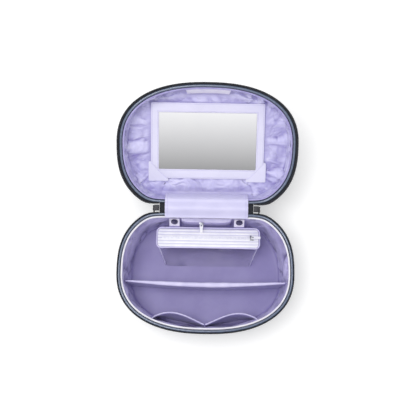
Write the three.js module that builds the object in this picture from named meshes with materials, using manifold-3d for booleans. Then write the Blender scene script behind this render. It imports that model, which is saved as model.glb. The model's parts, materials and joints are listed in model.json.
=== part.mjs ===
// An oval hard-shell beauty case, lying open: a deep base with its dividers, pockets and clear
// pouch, and a shallow lid with a mirror, joined by a cloth hinge along the back.
// Millimetres, +Z up, +Y towards the hinge. The origin is the middle of the base's underside.
// The lid is modelled shut over the base and then turned open about the hinge axis.

import * as THREE from 'three';
import { mergeVertices } from 'three/addons/utils/BufferGeometryUtils.js';
import Module from 'manifold-3d';

const wasm = await Module();
wasm.setup();

// Case: outer sizes at the rims
const CASE_WIDTH = 321;
const CASE_DEPTH = 220;
const FRONT_POWER = 2.38; // roundness of the front half of the oval
const BACK_POWER = 2.6; // and of the hinge half
const BACK_OVERREACH = 17.5; // that oval would reach so far past the back, where it is cut straight
const CUT_SHARPNESS = 30; // of the corners where the oval meets its straight back
const BASE_HEIGHT = 105;
const LID_HEIGHT = 50;
const LID_OPEN_ANGLE = THREE.MathUtils.degToRad(154);
const CLEARANCE = 0.3;

// Shells
const BASE_WALL = 3.2;
const BASE_TAPER = 14;
const BASE_BACK_TAPER = 3;
const BASE_EDGE = 14;
const LID_WALL = 1.6;
const LID_TAPER = 12;
const LID_BACK_TAPER = 4;
const LID_EDGE = 18;

// Rim: piping bead, zip tape with its coil, and the welt of the lining
const BEAD_WIDTH = 4.5;
const BEAD_INSET = 0.8;
const TAPE_THICKNESS = 0.8;
const BASE_TAPE_FLARE = 0.4;
const LID_TAPE_FLARE = 3.7;
const FLARE_RUN = 26; // over which the tape swings out from the hinge end
const TAPE_BEND = 0.6;
const ZIP_STAND = 10; // from a shell's rim to the plane where the two coils meet
const COIL_WIDTH = 2.6;
const COIL_HEIGHT = 2;
const WELT_WIDTH = 3.4;
const WELT_HEIGHT = 3.8;
const WELT_GAP = 0.9;
const WELT_SINK = 0.5;

// Linings
const LINING = 1.2;
const LINING_SLACK = 0.4;
const LINING_ROLL = 12; // height over which the lining rolls in under its welt
const LID_LINING_FLOOR = 8.3;
const LID_LINING_EDGE = 8;

// Cloth hinge
const HINGE_SET_BACK = 7; // hinge axis behind the back of the rims
const HINGE_SIDE_ROOM = 74.5; // from the hinge's end to the side of the case
const HINGE_HALF_WIDTH = CASE_WIDTH / 2 - HINGE_SIDE_ROOM;
const HINGE_CLOTH = 1;
const HINGE_ARCH = 12;
const FLAP_END_ROOM = 10; // of the hinge that the flap leaves bare at each end
const FLAP_WIDTH = (HINGE_HALF_WIDTH - FLAP_END_ROOM) * 2;
const FLAP_THICKNESS = 1.4;
const FLAP_LID_DEPTH = 26; // how far the flap reaches below the lid's rim
const FLAP_CREST = 4.5; // above the hinge axis
const FLAP_EASE = 3.5;

// Stiff board between the base's floor and its lining
const BOARD_THICKNESS = 3;
const BOARD_EDGE_GAP = 3;

// Divider
const DIVIDER_THICKNESS = 3;
const DIVIDER_HEIGHT = 63;
const DIVIDER_PLACE = -13;
const DIVIDER_BOW = 6;
const DIVIDER_END_GAP = 1.2;
const DIVIDER_CORD = 6;
const DIVIDER_CORD_END = 2.4;

// Front pockets
const POCKET_SHEET = 1;
const POCKET_SIDE_ROOM = 63.5; // from a pocket's outer end to the side of the case
const POCKET_HALF_SPAN = CASE_WIDTH / 2 - POCKET_SIDE_ROOM;
const POCKET_TOP = 70;
const POCKET_BULGE = 22;
const POCKET_SKEW = 5 / 4; // sets the fullest place beyond the middle of each pocket
const POCKET_ROUNDNESS = 4 / 5;
const POCKET_SEAM = 1.2;
const POCKET_MIDDLE_GAP = 1.2;
const POCKET_MIDDLE_LIFT = 6.4; // the taut hem draws the middle seam off the wall
const ELASTIC = 2.6;

// Clear pouch: its top edge follows the back and the sides of the case
const POUCH_SIDE_ROOM = 66.5;
const POUCH_TOP_WIDTH = CASE_WIDTH - POUCH_SIDE_ROOM * 2;
const POUCH_END_LEAN = 12;
const POUCH_BOTTOM_WIDTH = POUCH_TOP_WIDTH - POUCH_END_LEAN * 2;
const POUCH_BACK_ROOM = 22;
const POUCH_TOP_BACK = CASE_DEPTH / 2 - POUCH_BACK_ROOM;
const POUCH_TOP_DEPTH = 36;
const POUCH_TOP_FRONT = POUCH_TOP_BACK - POUCH_TOP_DEPTH;
const POUCH_BACK_LEAN = 26;
const POUCH_BOTTOM_BACK = POUCH_TOP_BACK - POUCH_BACK_LEAN;
const POUCH_BOTTOM_DEPTH = 37;
const POUCH_BOTTOM_FRONT = POUCH_BOTTOM_BACK - POUCH_BOTTOM_DEPTH;
const POUCH_BACK_HEIGHT = 55;
const POUCH_FRONT_HEIGHT = 64;
const POUCH_WALL = 0.8;
const POUCH_CORNER = 7;
const POUCH_OFF_CENTRE = 4;
const POUCH_PANEL = 1.6;
const POUCH_PIPING = 2.6;
const POUCH_ZIP_WIDTH = 6;
const POUCH_ZIP_HEIGHT = 1.4;
const POUCH_ZIP_MARGIN = 8;
const POUCH_SLIDER = { length: 9, height: 7, depth: 2.4 };
const PULLER_DROOP = THREE.MathUtils.degToRad(5);
const POUCH_PULLER = { length: 13, width: 5, thickness: 1.2 };

// Snap tabs and press studs
const TAB_INSET = 33.5; // from the pouch's ends to the middles of its tabs
const TAB_SPACING = POUCH_TOP_WIDTH - TAB_INSET * 2;
const TAB_OFF_CENTRE = 1;
const TAB_WIDTH = 19;
const TAB_THICKNESS = 1.2;
const TAB_TOP = 85;
const TAB_LENGTH = 20;
const TAB_LEAN = THREE.MathUtils.degToRad(31);
const CAP_DIAMETER = 12.6;
const CAP_HEIGHT = 2;
const CAP_DROP = 6.8; // from the tab's sewn edge to the middle of its cap
const STUD_DIAMETER = 5;
const STUD_HEIGHT = 1.4;
const SOCKET_PLAY = 0.8;

// Zip pocket on the back wall, between the snap tabs
const BACK_POCKET_END_GAP = 4;
const BACK_POCKET_WIDTH = TAB_SPACING - TAB_WIDTH - BACK_POCKET_END_GAP * 2;
const BACK_POCKET_TOP = 79;
const BACK_POCKET_DROP = 46;
const BACK_POCKET_DEPTH = 6;
const BACK_POCKET_SHEET = 1.4;
// shares of the pocket's half width, each with its share of the depth
const BACK_POCKET_SHARES = [
  [1, 0.1],
  [0.9, 1],
];
const BACK_ZIP_HEIGHT = 6;
const BACK_SLIDER = { length: 8, height: 6, depth: 2.6 };
const BACK_SLIDER_PLACE = -9;
const BACK_PULLER = { length: 13, width: 5, thickness: 1.2 };
const BACK_PULLER_LEAN = THREE.MathUtils.degToRad(52); // it lies out over the pocket

// Main zip sliders, parked at the two ends of the hinge
const SLIDER = { length: 9, width: 10, height: 5 };
const SLIDER_LUG = { length: 3, width: 3.4, height: 3 };
const MAIN_PULLER = { length: 26, width: 8, thickness: 2 };
const PIVOT_DIAMETER = 1.6;

// Feet
const FOOT_DIAMETER = 16;
const FOOT_HEIGHT = 3;
const FOOT_SIDE_ROOM = 65.5; // from the middle of a foot to the side of the case
const FOOT_REAR_ROOM = 27;
const FOOT_FRONT_ROOM = 50;

// Mirror, its frame, platform and corner pockets
const MIRROR_ROOM = { side: 55.5, end: 39 }; // from the frame to the case's sides and ends
const MIRROR_FRAME = {
  width: CASE_WIDTH - MIRROR_ROOM.side * 2,
  height: CASE_DEPTH - MIRROR_ROOM.end * 2,
  thickness: 2.4,
  corner: 3,
  place: 0.5,
};
const MIRROR_BORDER = { side: 15, end: 18 };
const MIRROR_GLASS = {
  width: MIRROR_FRAME.width - MIRROR_BORDER.side * 2,
  height: MIRROR_FRAME.height - MIRROR_BORDER.end * 2,
  thickness: 1.5,
};
const PLATFORM_INSET = 2; // from the frame's edges
const PLATFORM = {
  width: MIRROR_FRAME.width - PLATFORM_INSET * 2,
  height: MIRROR_FRAME.height - PLATFORM_INSET * 2,
  thickness: 2.2,
  corner: 3,
};
const CORNER_LEG = 40;
const CORNER_MARGIN_X = 4.6;
const CORNER_MARGIN_Y = 7;
const CORNER_SHEET = 0.8;
const PATCH_HALF_WIDTH = 41;
const PATCH = { top: 8.5, bottom: 24, thin: 3, thick: 11 };

// Carrying handle on the lid's dome
const HANDLE_SPAN = 116;
const HANDLE_RISE = 30;
const HANDLE_GRIP = 9;
const EYE_DIAMETER = 11;
const EYE_WIDTH = 8;
const HANDLE_PIN = 4;
const BRACKET = { length: 16, ear: 3, base: 3, foot: 22, pinHeight: 10 };
const RUNNING_GAP = 0.35;
const PLATE_MARGIN = 17; // of the backing plate, beyond the middle of each bracket
const PLATE = { width: HANDLE_SPAN + PLATE_MARGIN * 2, height: 26, thickness: 1.2 };
const SCREW_DIAMETER = 3.4;
const SCREW_HEAD = 6.4;
const SCREW_HEAD_HEIGHT = 1.8;

// Cuts run past the faces that they cut by this much
const OVERRUN = 1;

// Fineness
const RIM_STEPS = 56;
const SHELL_EDGE_STEPS = 4;
const LINING_EDGE_STEPS = 3;
const BEAD_SIDES = 6;
const ROUND_SIDES = 20;

const shellBlue = new THREE.MeshStandardMaterial({ color: 0x26304a, roughness: 0.3, metalness: 0 });
const pipingBlue = new THREE.MeshStandardMaterial({ color: 0x3c4a63, roughness: 0.3, metalness: 0 });
const blackCloth = new THREE.MeshStandardMaterial({ color: 0x17171b, roughness: 0.85, metalness: 0 });
const lilacSatin = new THREE.MeshStandardMaterial({ color: 0xb4aadd, roughness: 0.5, metalness: 0 });
const paleWelt = new THREE.MeshStandardMaterial({ color: 0xe9e5f6, roughness: 0.6, metalness: 0 });
const leatherette = new THREE.MeshStandardMaterial({ color: 0xdcd8ef, roughness: 0.55, metalness: 0 });
const silvered = new THREE.MeshStandardMaterial({ color: 0xd8dadd, roughness: 0.04, metalness: 1 });
const clearVinyl = new THREE.MeshStandardMaterial({ color: 0xc9c6e2, roughness: 0.15, metalness: 0 });
const whiteTape = new THREE.MeshStandardMaterial({ color: 0xf2f2f7, roughness: 0.6, metalness: 0 });
const gunmetal = new THREE.MeshStandardMaterial({ color: 0x3d3a50, roughness: 0.3, metalness: 0.9 });
const steel = new THREE.MeshStandardMaterial({ color: 0x8b8d92, roughness: 0.35, metalness: 0.9 });
const blackRubber = new THREE.MeshStandardMaterial({ color: 0x1b1b1f, roughness: 0.8, metalness: 0 });
const boardGrey = new THREE.MeshStandardMaterial({ color: 0x77757f, roughness: 0.8, metalness: 0 });

// Places that several pieces share
const CLOSURE_PLANE = BASE_HEIGHT + ZIP_STAND;
const LID_RIM = CLOSURE_PLANE + ZIP_STAND;
const LID_TOP = LID_RIM + LID_HEIGHT;
const HINGE_Y = CASE_DEPTH / 2 + HINGE_SET_BACK;
const WELT_INSET = BEAD_INSET + BEAD_WIDTH + WELT_GAP;

// A tub is one half of the case. Heights in it are counted from its floor towards its rim, and
// stand() turns them into heights in the shut case.
const baseTub = {
  height: BASE_HEIGHT,
  wall: BASE_WALL,
  flare: BASE_TAPE_FLARE,
  taper: BASE_TAPER,
  backTaper: BASE_BACK_TAPER,
  edge: BASE_EDGE,
  liningFloor: BASE_WALL + CLEARANCE + BOARD_THICKNESS + LINING_SLACK,
  liningEdge: BASE_EDGE - BASE_WALL - BOARD_THICKNESS,
  stand: (z) => z,
};
const lidTub = {
  height: LID_HEIGHT,
  wall: LID_WALL,
  flare: LID_TAPE_FLARE,
  taper: LID_TAPER,
  backTaper: LID_BACK_TAPER,
  edge: LID_EDGE,
  liningFloor: LID_LINING_FLOOR,
  liningEdge: LID_LINING_EDGE,
  stand: (z) => LID_TOP - z,
};

const beautyCase = new THREE.Group();
const lidHinge = new THREE.Group();
lidHinge.position.set(0, HINGE_Y, CLOSURE_PLANE);
lidHinge.rotation.x = -LID_OPEN_ANGLE;
const lid = new THREE.Group();
lid.position.set(0, -HINGE_Y, -CLOSURE_PLANE);
lidHinge.add(lid);
beautyCase.add(lidHinge);

function addPiece(name, geometry, material, parent = beautyCase) {
  const mesh = new THREE.Mesh(geometry, material);
  mesh.name = name;
  parent.add(mesh);
  return mesh;
}

// Geometry helpers

/** Triangles that close a loop of points lying near one plane. */
function flatFace(loop) {
  const normal = new THREE.Vector3();
  loop.forEach((p, i) => {
    const q = loop[(i + 1) % loop.length];
    normal.x += (p.y - q.y) * (p.z + q.z);
    normal.y += (p.z - q.z) * (p.x + q.x);
    normal.z += (p.x - q.x) * (p.y + q.y);
  });
  const size = normal.clone().set(Math.abs(normal.x), Math.abs(normal.y), Math.abs(normal.z));
  const drop = size.z >= size.x && size.z >= size.y ? 'z' : size.y >= size.x ? 'y' : 'x';
  const [u, v] = ['x', 'y', 'z'].filter((axis) => axis !== drop);
  const contour = loop.map((p) => new THREE.Vector2(p[u], p[v]));
  return THREE.ShapeUtils.triangulateShape(contour, []);
}

/** A closed solid through loops of points with as many points each. */
function loft(loops, closed = false) {
  const count = loops[0].length;
  const positions = loops.flat().flatMap((p) => [p.x, p.y, p.z]);
  const faces = [];
  const spans = closed ? loops.length : loops.length - 1;
  for (let i = 0; i < spans; i++) {
    const near = i * count;
    const far = ((i + 1) % loops.length) * count;
    for (let j = 0; j < count; j++) {
      const k = (j + 1) % count;
      faces.push([near + j, near + k, far + k], [near + j, far + k, far + j]);
    }
  }
  if (!closed) {
    const last = (loops.length - 1) * count;
    flatFace(loops[0]).forEach(([a, b, c]) => faces.push(matchWinding(loops[0], [a, b, c], 0, true)));
    flatFace(loops[loops.length - 1]).forEach(([a, b, c]) =>
      faces.push(matchWinding(loops[loops.length - 1], [a, b, c], last, false)),
    );
  }
  return outward(positions, faces);
}

/** Winds a cap's triangle with its loop at the far end, or against it at the near end. */
function matchWinding(loop, triangle, first, near) {
  const corners = triangle.map((i) => loop[i]);
  const turn = newell(corners).dot(newell(loop));
  const [a, b, c] = turn > 0 === near ? [triangle[0], triangle[2], triangle[1]] : triangle;
  return [a + first, b + first, c + first];
}

function newell(loop) {
  const normal = new THREE.Vector3();
  loop.forEach((p, i) => normal.add(p.clone().cross(loop[(i + 1) % loop.length])));
  return normal;
}

/** A geometry whose faces point out of the solid. */
function outward(positions, faces) {
  const at = (i) => new THREE.Vector3().fromArray(positions, i * 3);
  const volume = faces.reduce((sum, [a, b, c]) => sum + at(a).dot(at(b).cross(at(c))), 0);
  const wound = volume < 0 ? faces.map(([a, b, c]) => [a, c, b]) : faces;
  const geometry = new THREE.BufferGeometry();
  geometry.setAttribute('position', new THREE.Float32BufferAttribute(positions, 3));
  geometry.setIndex(wound.flat());
  return geometry;
}

function toSolid(geometry) {
  const bare = geometry.clone();
  bare.deleteAttribute('normal');
  bare.deleteAttribute('uv');
  const merged = mergeVertices(bare);
  return new wasm.Manifold(
    new wasm.Mesh({
      numProp: 3,
      vertProperties: new Float32Array(merged.attributes.position.array),
      triVerts: new Uint32Array(merged.index.array),
    }),
  );
}

function fromSolid(solid) {
  const mesh = solid.getMesh();
  const geometry = new THREE.BufferGeometry();
  geometry.setAttribute('position', new THREE.BufferAttribute(new Float32Array(mesh.vertProperties), 3));
  geometry.setIndex(new THREE.BufferAttribute(new Uint32Array(mesh.triVerts), 1));
  return geometry;
}

function cut(geometry, tools) {
  return fromSolid(tools.reduce((solid, tool) => solid.subtract(toSolid(tool)), toSolid(geometry)));
}

function join(geometries) {
  return fromSolid(geometries.map(toSolid).reduce((all, solid) => all.add(solid)));
}

function block(width, depth, height, x, y, z) {
  return new THREE.BoxGeometry(width, depth, height).translate(x, y, z);
}

/** A cylinder along 'x', 'y' or 'z' with its middle at the place given. */
function rod(diameter, length, axis, x, y, z, sides = ROUND_SIDES) {
  const geometry = new THREE.CylinderGeometry(diameter / 2, diameter / 2, length, sides);
  if (axis === 'x') geometry.rotateZ(Math.PI / 2);
  if (axis === 'z') geometry.rotateX(Math.PI / 2);
  return geometry.translate(x, y, z);
}

/** A flat plate with rounded corners in the XY plane, standing on height z. */
function roundedPlate({ width, height, thickness, corner }, z) {
  const [w, h] = [width / 2, height / 2];
  const shape = new THREE.Shape();
  shape.moveTo(corner - w, -h);
  shape.absarc(w - corner, corner - h, corner, -Math.PI / 2, 0);
  shape.absarc(w - corner, h - corner, corner, 0, Math.PI / 2);
  shape.absarc(corner - w, h - corner, corner, Math.PI / 2, Math.PI);
  shape.absarc(corner - w, corner - h, corner, Math.PI, Math.PI * 1.5);
  const options = { depth: thickness, bevelEnabled: false, curveSegments: 4 };
  return new THREE.ExtrudeGeometry(shape, options).translate(0, 0, z);
}

/** A band of even thickness along a line of [y, z] points, as a closed [y, z] outline. */
function thickLine(points, thickness) {
  const sides = [[], []];
  points.forEach(([y, z], i) => {
    const before = points[Math.max(i - 1, 0)];
    const after = points[Math.min(i + 1, points.length - 1)];
    const across = new THREE.Vector2(before[1] - after[1], after[0] - before[0]);
    across.setLength(thickness / 2);
    sides[0].push([y + across.x, z + across.y]);
    sides[1].unshift([y - across.x, z - across.y]);
  });
  return sides.flat();
}

/** A round tube along a smooth curve through the points. */
function tube(points, diameter, sides, steps) {
  const section = new THREE.Shape();
  section.absarc(0, 0, diameter / 2, 0, Math.PI * 2);
  const corners = section.getPoints(sides).slice(0, -1);
  const options = {
    steps,
    bevelEnabled: false,
    extrudePath: new THREE.CatmullRomCurve3(points),
  };
  return new THREE.ExtrudeGeometry(new THREE.Shape(corners), options);
}

// The case's outline

/** The oval's hinge half, cut straight: the smaller of the two depths, rounded where they meet. */
function cutStraight(share, drawnIn) {
  const straight = CASE_DEPTH / 2 - drawnIn;
  const round = (CASE_DEPTH / 2 + BACK_OVERREACH - drawnIn) * share;
  return straight * round * (straight ** CUT_SHARPNESS + round ** CUT_SHARPNESS) ** (-1 / CUT_SHARPNESS);
}

/** A point of the oval, drawn in by the inset and the tub's taper. Turn 0 is the right side. */
function tubPoint(tub, turn, inset, z) {
  const lean = Math.max(1 - z / tub.height, 0);
  const side = inset + tub.taper * lean;
  const [cos, sin] = [Math.cos(turn), Math.sin(turn)];
  const back = sin > 0;
  const power = 2 / (back ? BACK_POWER : FRONT_POWER);
  const y = back
    ? cutStraight(sin ** power, inset + tub.backTaper * lean)
    : (side - CASE_DEPTH / 2) * Math.abs(sin) ** power;
  const x = (CASE_WIDTH / 2 - side) * Math.sign(cos) * Math.abs(cos) ** power;
  return new THREE.Vector3(x, y, tub.stand(z));
}

/** Where a wall that is drawn in by the inset stands in Y, at a width x and a height z. */
function wallY(tub, x, inset, z, back) {
  const lean = Math.max(1 - z / tub.height, 0);
  const side = inset + tub.taper * lean;
  const power = back ? BACK_POWER : FRONT_POWER;
  const along = Math.min(Math.abs(x) / (CASE_WIDTH / 2 - side), 1) ** power;
  const share = (1 - along) ** (1 / power);
  return back ? cutStraight(share, inset + tub.backTaper * lean) : (side - CASE_DEPTH / 2) * share;
}

/** The turn on the oval at which an outline with this inset reaches the width x, on one side. */
function turnAtX(tub, x, inset, z, back) {
  const side = inset + tub.taper * (1 - z / tub.height);
  const cos = (Math.abs(x) / (CASE_WIDTH / 2 - side)) ** ((back ? BACK_POWER : FRONT_POWER) / 2);
  return Math.acos(cos);
}

/** Inset of a tub-shaped surface at height z, with its rounded edge along the floor. */
function edgeInset(surface, z) {
  const rise = Math.min(Math.max((z - surface.floor) / surface.edge, 0), 1);
  return surface.inset + surface.edge * (1 - Math.sqrt(1 - (1 - rise) ** 2));
}

/** [inset, z] points of a tub-shaped surface, from its floor to the top of its rounded edge. */
function edgeProfile(surface, steps) {
  return Array.from({ length: steps + 1 }, (_, i) => {
    const turn = ((i / steps) * Math.PI) / 2;
    return [
      surface.inset + surface.edge * (1 - Math.sin(turn)),
      surface.floor + surface.edge * (1 - Math.cos(turn)),
    ];
  });
}

function turns(from, to, steps) {
  return Array.from({ length: steps + 1 }, (_, i) => from + ((to - from) * i) / steps);
}

/** A tub: a surface of revolution round the oval, closed over its floor. */
function tubSolid(tub, profile) {
  const around = turns(0, Math.PI * 2, RIM_STEPS).slice(0, -1);
  return loft(profile.map(([inset, z]) => around.map((turn) => tubPoint(tub, turn, inset, z))));
}

/** A closed section of [inset, z] points carried right round the oval. */
function rimRing(tub, section) {
  const around = turns(0, Math.PI * 2, RIM_STEPS).slice(0, -1);
  const loops = around.map((turn) => section.map(([inset, z]) => tubPoint(tub, turn, inset, z)));
  return loft(loops, true);
}

/** A section from one turn to another, with flat ends. It may change along the way: the section
    is a function of how far that place is from the nearer end. */
function rimRun(tub, sectionAt, from, to, steps) {
  const around = turns(from, to, steps);
  const rim = around.map((turn) => tubPoint(tub, turn, 0, tub.height));
  const fromEnd = rim.map((p) => Math.min(p.distanceTo(rim[0]), p.distanceTo(rim[steps])));
  const loops = around.map((turn, i) =>
    sectionAt(fromEnd[i]).map(([inset, z]) => tubPoint(tub, turn, inset, z)),
  );
  return loft(loops);
}

function ovalSection(inset, z, width, height, sides) {
  return Array.from({ length: sides }, (_, i) => {
    const turn = ((i + 1 / 2) / sides) * Math.PI * 2;
    return [inset + (width / 2) * Math.cos(turn), z + (height / 2) * Math.sin(turn)];
  });
}

// Shells, linings and rims, made alike for the base and the lid

function shell(tub) {
  const outer = edgeProfile({ inset: 0, floor: 0, edge: tub.edge }, SHELL_EDGE_STEPS);
  const inside = { inset: tub.wall, floor: tub.wall, edge: tub.edge - tub.wall };
  const inner = edgeProfile(inside, SHELL_EDGE_STEPS);
  const rim = [
    [0, tub.height],
    [tub.wall, tub.height],
  ];
  return tubSolid(tub, [...outer, ...rim, ...inner.reverse()]);
}

/** The face of the lining that looks at the shell, or the one that looks into the case. */
function liningSurface(tub, inner) {
  const depth = inner ? LINING : 0;
  return {
    inset: tub.wall + LINING_SLACK + depth,
    floor: tub.liningFloor + depth,
    edge: tub.liningEdge - depth,
  };
}

function lining(tub) {
  const outer = liningSurface(tub, false);
  const inner = liningSurface(tub, true);
  const top = tub.height - WELT_SINK - CLEARANCE;
  const roll = [
    [outer.inset, top - LINING_ROLL],
    [WELT_INSET + CLEARANCE, top],
    [WELT_INSET + CLEARANCE + LINING, top],
    [inner.inset, top - LINING_ROLL],
  ];
  return tubSolid(tub, [
    ...edgeProfile(outer, LINING_EDGE_STEPS),
    ...roll,
    ...edgeProfile(inner, LINING_EDGE_STEPS).reverse(),
  ]);
}

function rimPieces(tub, prefix, parent) {
  const rim = tub.height;
  const beadMiddle = [BEAD_INSET + BEAD_WIDTH / 2, rim + CLEARANCE + BEAD_WIDTH / 2];
  const bead = ovalSection(...beadMiddle, BEAD_WIDTH, BEAD_WIDTH, BEAD_SIDES);
  addPiece(`${prefix}_rim_piping`, rimRing(tub, bead), pipingBlue, parent);

  const weltMiddle = [WELT_INSET + WELT_WIDTH / 2, rim + WELT_HEIGHT / 2 - WELT_SINK];
  const welt = ovalSection(...weltMiddle, WELT_WIDTH, WELT_HEIGHT, BEAD_SIDES);
  addPiece(`${prefix}_lining_welt`, rimRing(tub, welt), paleWelt, parent);

  // the zip runs from one end of the hinge round the front to the other
  const hingeEnd = HINGE_HALF_WIDTH + CLEARANCE;
  const from = turnAtX(tub, hingeEnd, TAPE_THICKNESS, rim, true);
  const run = (sectionAt) => rimRun(tub, sectionAt, from, -Math.PI - from, RIM_STEPS - BEAD_SIDES);
  const coilTop = rim + ZIP_STAND - CLEARANCE / 2;
  const tapeTop = coilTop - COIL_HEIGHT - CLEARANCE;
  const flareAt = (fromEnd) => tub.flare * Math.min(fromEnd / FLARE_RUN, 1);
  const tape = (fromEnd) => {
    const bend = Math.min(TAPE_BEND, flareAt(fromEnd));
    return [
      [0, rim + CLEARANCE],
      [-bend, rim + BEAD_WIDTH / 2],
      [-flareAt(fromEnd), tapeTop],
      [TAPE_THICKNESS - flareAt(fromEnd), tapeTop],
      [TAPE_THICKNESS - bend, rim + BEAD_WIDTH / 2],
      [TAPE_THICKNESS, rim + CLEARANCE],
    ];
  };
  addPiece(`${prefix}_zip_tape`, run(tape), blackCloth, parent);
  const coil = (fromEnd) => {
    const inset = TAPE_THICKNESS / 2 - flareAt(fromEnd) - COIL_WIDTH / 2;
    return [
      [inset, coilTop - COIL_HEIGHT],
      [inset, coilTop],
      [inset + COIL_WIDTH, coilTop],
      [inset + COIL_WIDTH, coilTop - COIL_HEIGHT],
    ];
  };
  addPiece(`${prefix}_zip_coil`, run(coil), blackCloth, parent);
}

// Cloth hinge and the flap that covers it from inside

/** Where a [y, z] point of the shut lid lies once the lid is open. */
function openedLidPoint([y, z]) {
  const arm = new THREE.Vector3(0, y - HINGE_Y, z - CLOSURE_PLANE);
  arm.applyAxisAngle(new THREE.Vector3(1, 0, 0), -LID_OPEN_ANGLE);
  return [arm.y + HINGE_Y, arm.z + CLOSURE_PLANE];
}

function clothHinge() {
  const foot = BASE_HEIGHT + CLEARANCE + HINGE_CLOTH / 2;
  const places = turns(-HINGE_HALF_WIDTH, HINGE_HALF_WIDTH, 8);
  const loops = places.map((x) => {
    const y = wallY(baseTub, x, HINGE_CLOTH / 2, BASE_HEIGHT, true);
    const start = new THREE.Vector2(y, foot);
    const end = new THREE.Vector2(...openedLidPoint([y, CLOSURE_PLANE * 2 - foot]));
    const middle = start.clone().add(end).divideScalar(2);
    const up = new THREE.Vector2(start.y - end.y, end.x - start.x).setLength(HINGE_ARCH);
    const arch = new THREE.QuadraticBezierCurve(start, middle.add(up), end);
    const line = arch.getPoints(5).map((p) => [p.x, p.y]);
    return thickLine(line, HINGE_CLOTH).map(([py, pz]) => new THREE.Vector3(x, py, pz));
  });
  return loft(loops);
}

/** The flap's middle line at a width x, from the base's welt over both rims down into the lid. */
function flapLine(x) {
  const inset = WELT_INSET + WELT_WIDTH + CLEARANCE + FLAP_THICKNESS;
  const inside = wallY(baseTub, x, inset, BASE_HEIGHT, true);
  const onWelt = wallY(baseTub, x, WELT_INSET + WELT_WIDTH, BASE_HEIGHT, true);
  const onBead = wallY(baseTub, x, BEAD_INSET + BEAD_WIDTH / 2, BASE_HEIGHT, true);
  const rise = FLAP_THICKNESS / 2 + CLEARANCE * 2;
  const overWelt = BASE_HEIGHT + WELT_HEIGHT - WELT_SINK + rise;
  const overBead = BASE_HEIGHT + BEAD_WIDTH + CLEARANCE + rise;
  const mirrored = (z) => CLOSURE_PLANE * 2 - z;
  const line = [
    [onWelt, overWelt],
    [onBead, overBead],
    [HINGE_Y, CLOSURE_PLANE + FLAP_CREST],
    openedLidPoint([onBead, mirrored(overBead)]),
    openedLidPoint([inside + FLAP_EASE, mirrored(overWelt + FLAP_THICKNESS)]),
    openedLidPoint([inside, mirrored(BASE_HEIGHT + WELT_HEIGHT / 2)]),
    openedLidPoint([inside, mirrored(BASE_HEIGHT - FLAP_LID_DEPTH)]),
  ];
  const smooth = new THREE.SplineCurve(line.map(([y, z]) => new THREE.Vector2(y, z)));
  return smooth.getPoints(18).map((p) => [p.x, p.y]);
}

function hingeFlap() {
  const loops = turns(-FLAP_WIDTH / 2, FLAP_WIDTH / 2, 8).map((x) =>
    thickLine(flapLine(x), FLAP_THICKNESS).map(([y, z]) => new THREE.Vector3(x, y, z)),
  );
  return loft(loops);
}

// Inside the base

/** Half the room between the lining's side walls at a place y and a height z. */
function halfRoom(y, z) {
  const inset = edgeInset(liningSurface(baseTub, true), z);
  const side = inset + baseTub.taper * (1 - z / baseTub.height);
  const along = (Math.abs(y) / (CASE_DEPTH / 2 - side)) ** FRONT_POWER;
  return (CASE_WIDTH / 2 - side) * (1 - along) ** (1 / FRONT_POWER);
}

function dividerLine(share) {
  return DIVIDER_PLACE - DIVIDER_BOW * Math.cos((share * Math.PI) / 2);
}

const baseFloor = baseTub.liningFloor + LINING + CLEARANCE;
const dividerTop = baseFloor + DIVIDER_HEIGHT;

function dividerPanel() {
  const shares = turns(-1, 1, 10);
  const levels = turns(0, 1, 4).map((share) => baseFloor + DIVIDER_HEIGHT * share ** 2);
  const loops = levels.map((z) => {
    const reach = halfRoom(DIVIDER_PLACE - DIVIDER_THICKNESS, z) - DIVIDER_END_GAP;
    const row = (shift) =>
      shares.map((share) => new THREE.Vector3(share * reach, dividerLine(share) + shift, z));
    return [...row(-DIVIDER_THICKNESS / 2), ...row(DIVIDER_THICKNESS / 2).reverse()];
  });
  return loft(loops);
}

/** The padded roll along the divider's top edge: fat in the middle, thin where it is sewn in. */
function dividerBinding() {
  const reach = halfRoom(DIVIDER_PLACE - DIVIDER_CORD, dividerTop) - DIVIDER_END_GAP;
  const loops = turns(-1, 1, 16).map((share) => {
    const width = DIVIDER_CORD_END + (DIVIDER_CORD - DIVIDER_CORD_END) * Math.cos((share * Math.PI) / 2);
    const middle = dividerTop + CLEARANCE + width / 2;
    return ovalSection(dividerLine(share), middle, width, width, BEAD_SIDES).map(
      ([y, z]) => new THREE.Vector3(share * reach, y, z),
    );
  });
  return loft(loops);
}

/** How far a front pocket stands off the lining, at a share of its span and of its height. */
function pocketStandOff(share, heightShare) {
  const round = Math.sin(share ** POCKET_SKEW * Math.PI) ** POCKET_ROUNDNESS;
  const bulge = round * (1 / 3 + (2 / 3) * heightShare);
  const lift = POCKET_MIDDLE_LIFT * heightShare * (1 - share) ** 2;
  return POCKET_SEAM + POCKET_SHEET / 2 + POCKET_BULGE * bulge + lift;
}

/** A point of a front pocket. Share 0 is its inner end and 1 its outer end. */
function pocketPoint(side, share, z) {
  const x = side * (POCKET_MIDDLE_GAP + (POCKET_HALF_SPAN - POCKET_MIDDLE_GAP) * share);
  const inset = edgeInset(liningSurface(baseTub, true), z);
  const wall = wallY(baseTub, x, inset, z, false);
  const heightShare = (z - baseFloor) / (POCKET_TOP - baseFloor);
  return new THREE.Vector3(x, wall + pocketStandOff(share, heightShare), z);
}

function frontPocket(side) {
  const levels = turns(baseFloor + LINING, POCKET_TOP, 4);
  const loops = turns(0, 1, 10).map((share) => {
    const line = levels.map((z) => pocketPoint(side, share, z));
    const outline = thickLine(line.map((p) => [p.y, p.z]), POCKET_SHEET);
    return outline.map(([y, z]) => new THREE.Vector3(line[0].x, y, z));
  });
  return loft(loops);
}

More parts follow.
